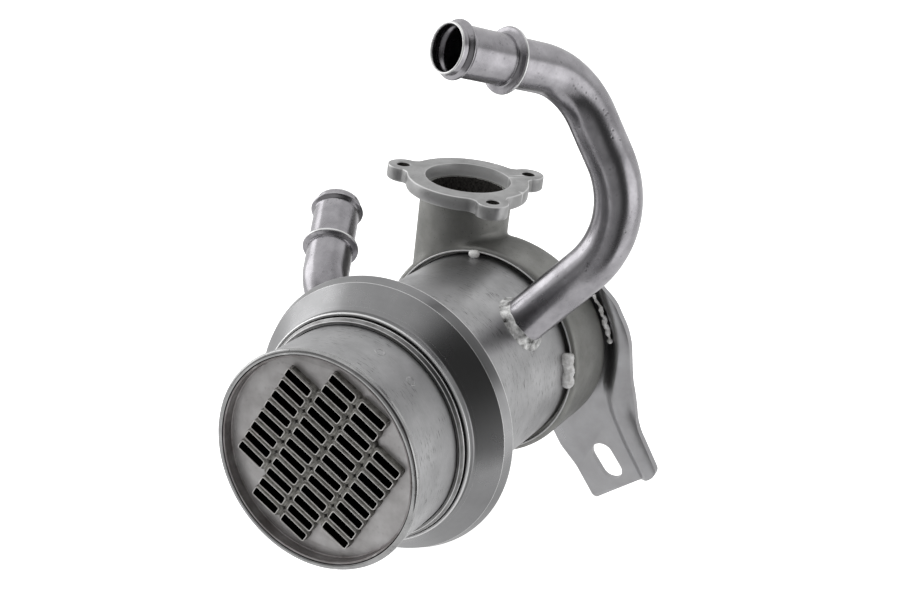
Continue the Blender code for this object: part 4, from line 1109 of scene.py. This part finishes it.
def rib_height(offset):
    """Height over the web: a cosine flank inside the ridge, and a steadier fall outside it."""
    inside = RIB_H * (0.5 + 0.5 * np.cos(np.pi * clamp(-offset / RIB_FLANK)))
    outside = RIB_H - RIB_FALL * offset * clamp(offset / FULL_FALL_AT)
    return np.where(offset <= 0.0, inside, outside)


ridge, web = through(RIB_LINE, ALONG), through(WEB_LINE, ALONG)
run = unit(np.gradient(ridge, axis=0))
outwards = joined(-run[:, 1], run[:, 0])
offsets = np.concatenate([np.linspace(-RIB_FLANK, 0.0, 18), np.linspace(0.5, 10.5, 20)])
curved = ridge[:, None] + outwards[:, None] * offsets[None, :, None]
share = np.linspace(0.0, 1.0, ACROSS, endpoint=False)[None, :, None]
flat = web[:, None] + (curved[:, :1] - web[:, None]) * share
plan = np.concatenate([flat, curved], axis=1) + (EDGE_X, 0.0)
height = np.concatenate([np.zeros((ALONG, ACROSS)), np.tile(rib_height(offsets), (ALONG, 1))], axis=1)
points = np.concatenate([plan, height[..., None]], axis=-1)
bracket = meshed("bracket_pressed", points * MM, grid_faces(ALONG, points.shape[1], around=False)[:, ::-1].tolist())
wall = bracket.modifiers.new("sheet", "SOLIDIFY")
wall.thickness, wall.offset = SHEET * MM, -1.0
bracket = as_mesh(bracket, "bracket_pressed")

w, h = SLOT_SIZE[0] / 2.0, SLOT_SIZE[1] / 2.0
end_r = h - 0.02
slot = rounded([(w, h, end_r), (-w, h, end_r), (-w, -h, end_r), (w, -h, end_r)], 14)
slot = turned_flat(slot, SLOT_TURN, EDGE_X + SLOT_AT[0], SLOT_AT[1])
border = rounded(np.array(OUTLINE) + (EDGE_X, 0.0, 0.0), 12)
bracket = cut(bracket, filled("blank", [border], 40.0), "INTERSECT")
plain = bracket.modifiers.new("plain", "DECIMATE")
plain.decimate_type, plain.angle_limit = "DISSOLVE", math.radians(0.2)
softer = bracket.modifiers.new("edges", "BEVEL")
softer.width, softer.segments = EDGE_ROUND * MM, 2
softer.limit_method, softer.angle_limit = "ANGLE", math.radians(50.0)
bracket = cut(as_mesh(bracket, "bracket_pressed"), filled("blank", [slot], 40.0), "DIFFERENCE")
bracket.data.transform(Matrix.Translation((0.0, BRACKET_Y * MM, 0.0)) @
                       Matrix.Rotation(math.pi / 2.0 + math.atan(BACK_SLOPE), 4, "X"))
smooth(bracket, 40.0)
bracket.modifiers.new("even", "WEIGHTED_NORMAL").keep_sharp = True
bracket = dressed(as_mesh(bracket, "bracket_pressed"), pressed_sheet, ["bracket"])
print("bracket faces:", len(bracket.data.polygons))


# %% Weld beads
def weld_bead(name, node, radius_from_axis, degrees, y, slope, half_width, rough, uneven, taper, end_blob, seed,
              count=130, sides=28):
    """A lumpy rod along an arc about the cooler's axis, at y - slope * z. Its radius is the square root of
    1 - (distance past the end's round part)^2, times slow waves where the welder paused, plus a blob at the
    start if there is one."""
    phi = np.radians(np.linspace(*degrees, count))
    run = radius_from_axis * (phi - phi[0])
    way = joined(run, 0.0, 0.0)
    wander = 1.4 * uneven * lumps(way, 2.6, seed + 5) * half_width
    radius = radius_from_axis + 0.3 * wander
    z = radius * np.sin(phi)
    line = joined(radius * np.cos(phi), y - slope * z + wander, z)
    ends = clamp(np.minimum(run, run[-1] - run) / (half_width * taper))
    radii = half_width * np.sqrt(1.0 - (1.0 - ends) ** 2 * 0.98) * (1.0 + uneven * lumps(way, 3.4, seed + 7))
    radii += end_blob * swell(run - 1.4, 3.0)
    centres, spokes = stations(line, run_of(line), sides)
    skin = centres + spokes * radii[:, None, None]
    push = rough * (lumps(skin, 1.7, seed) + 0.5 * lumps(skin, 0.7, seed + 1))
    skin = skin + spokes * (push * ends[:, None])[..., None]
    first, last = (np.repeat(line[[end], None], sides, axis=1) for end in (0, -1))
    item = solid(name, np.concatenate([first, skin, last]))
    item.data.shade_smooth()
    # The beads get the near white finish, a painted highlight.
    dressed(item, bright_weld, [node])


WELDS = (
    # name, solid, radius from the axis, degrees from and to, y, slope, half width, rough, uneven, taper, blob, seed
    ("bracket_weld_laid", "bracket_weld", 50.9, (9.0, 38.0), BRACKET_Y - 5.0, BACK_SLOPE, 0.95, 0.5, 0.4, 1.0, 0.8,
     51),
    ("side_weld_laid", "side_tack_weld", 46.2, (-3.2, 17.2), 131.3, 0.0, 2.8, 0.34, 0.14, 0.5, 0.0, 55),
    ("top_weld_laid", "top_tack_weld", 46.6, (94.6, 101.0), 131.4, 0.0, 2.1, 0.26, 0.1, 1.4, 0.0, 59),
)
for weld in WELDS:
    weld_bead(*weld)
print("welds:", len(WELDS))

# %% The sheet at the far end keeps its solid and gets a finish
dressed(NODES["rear_tube_sheet"], sheet_face)
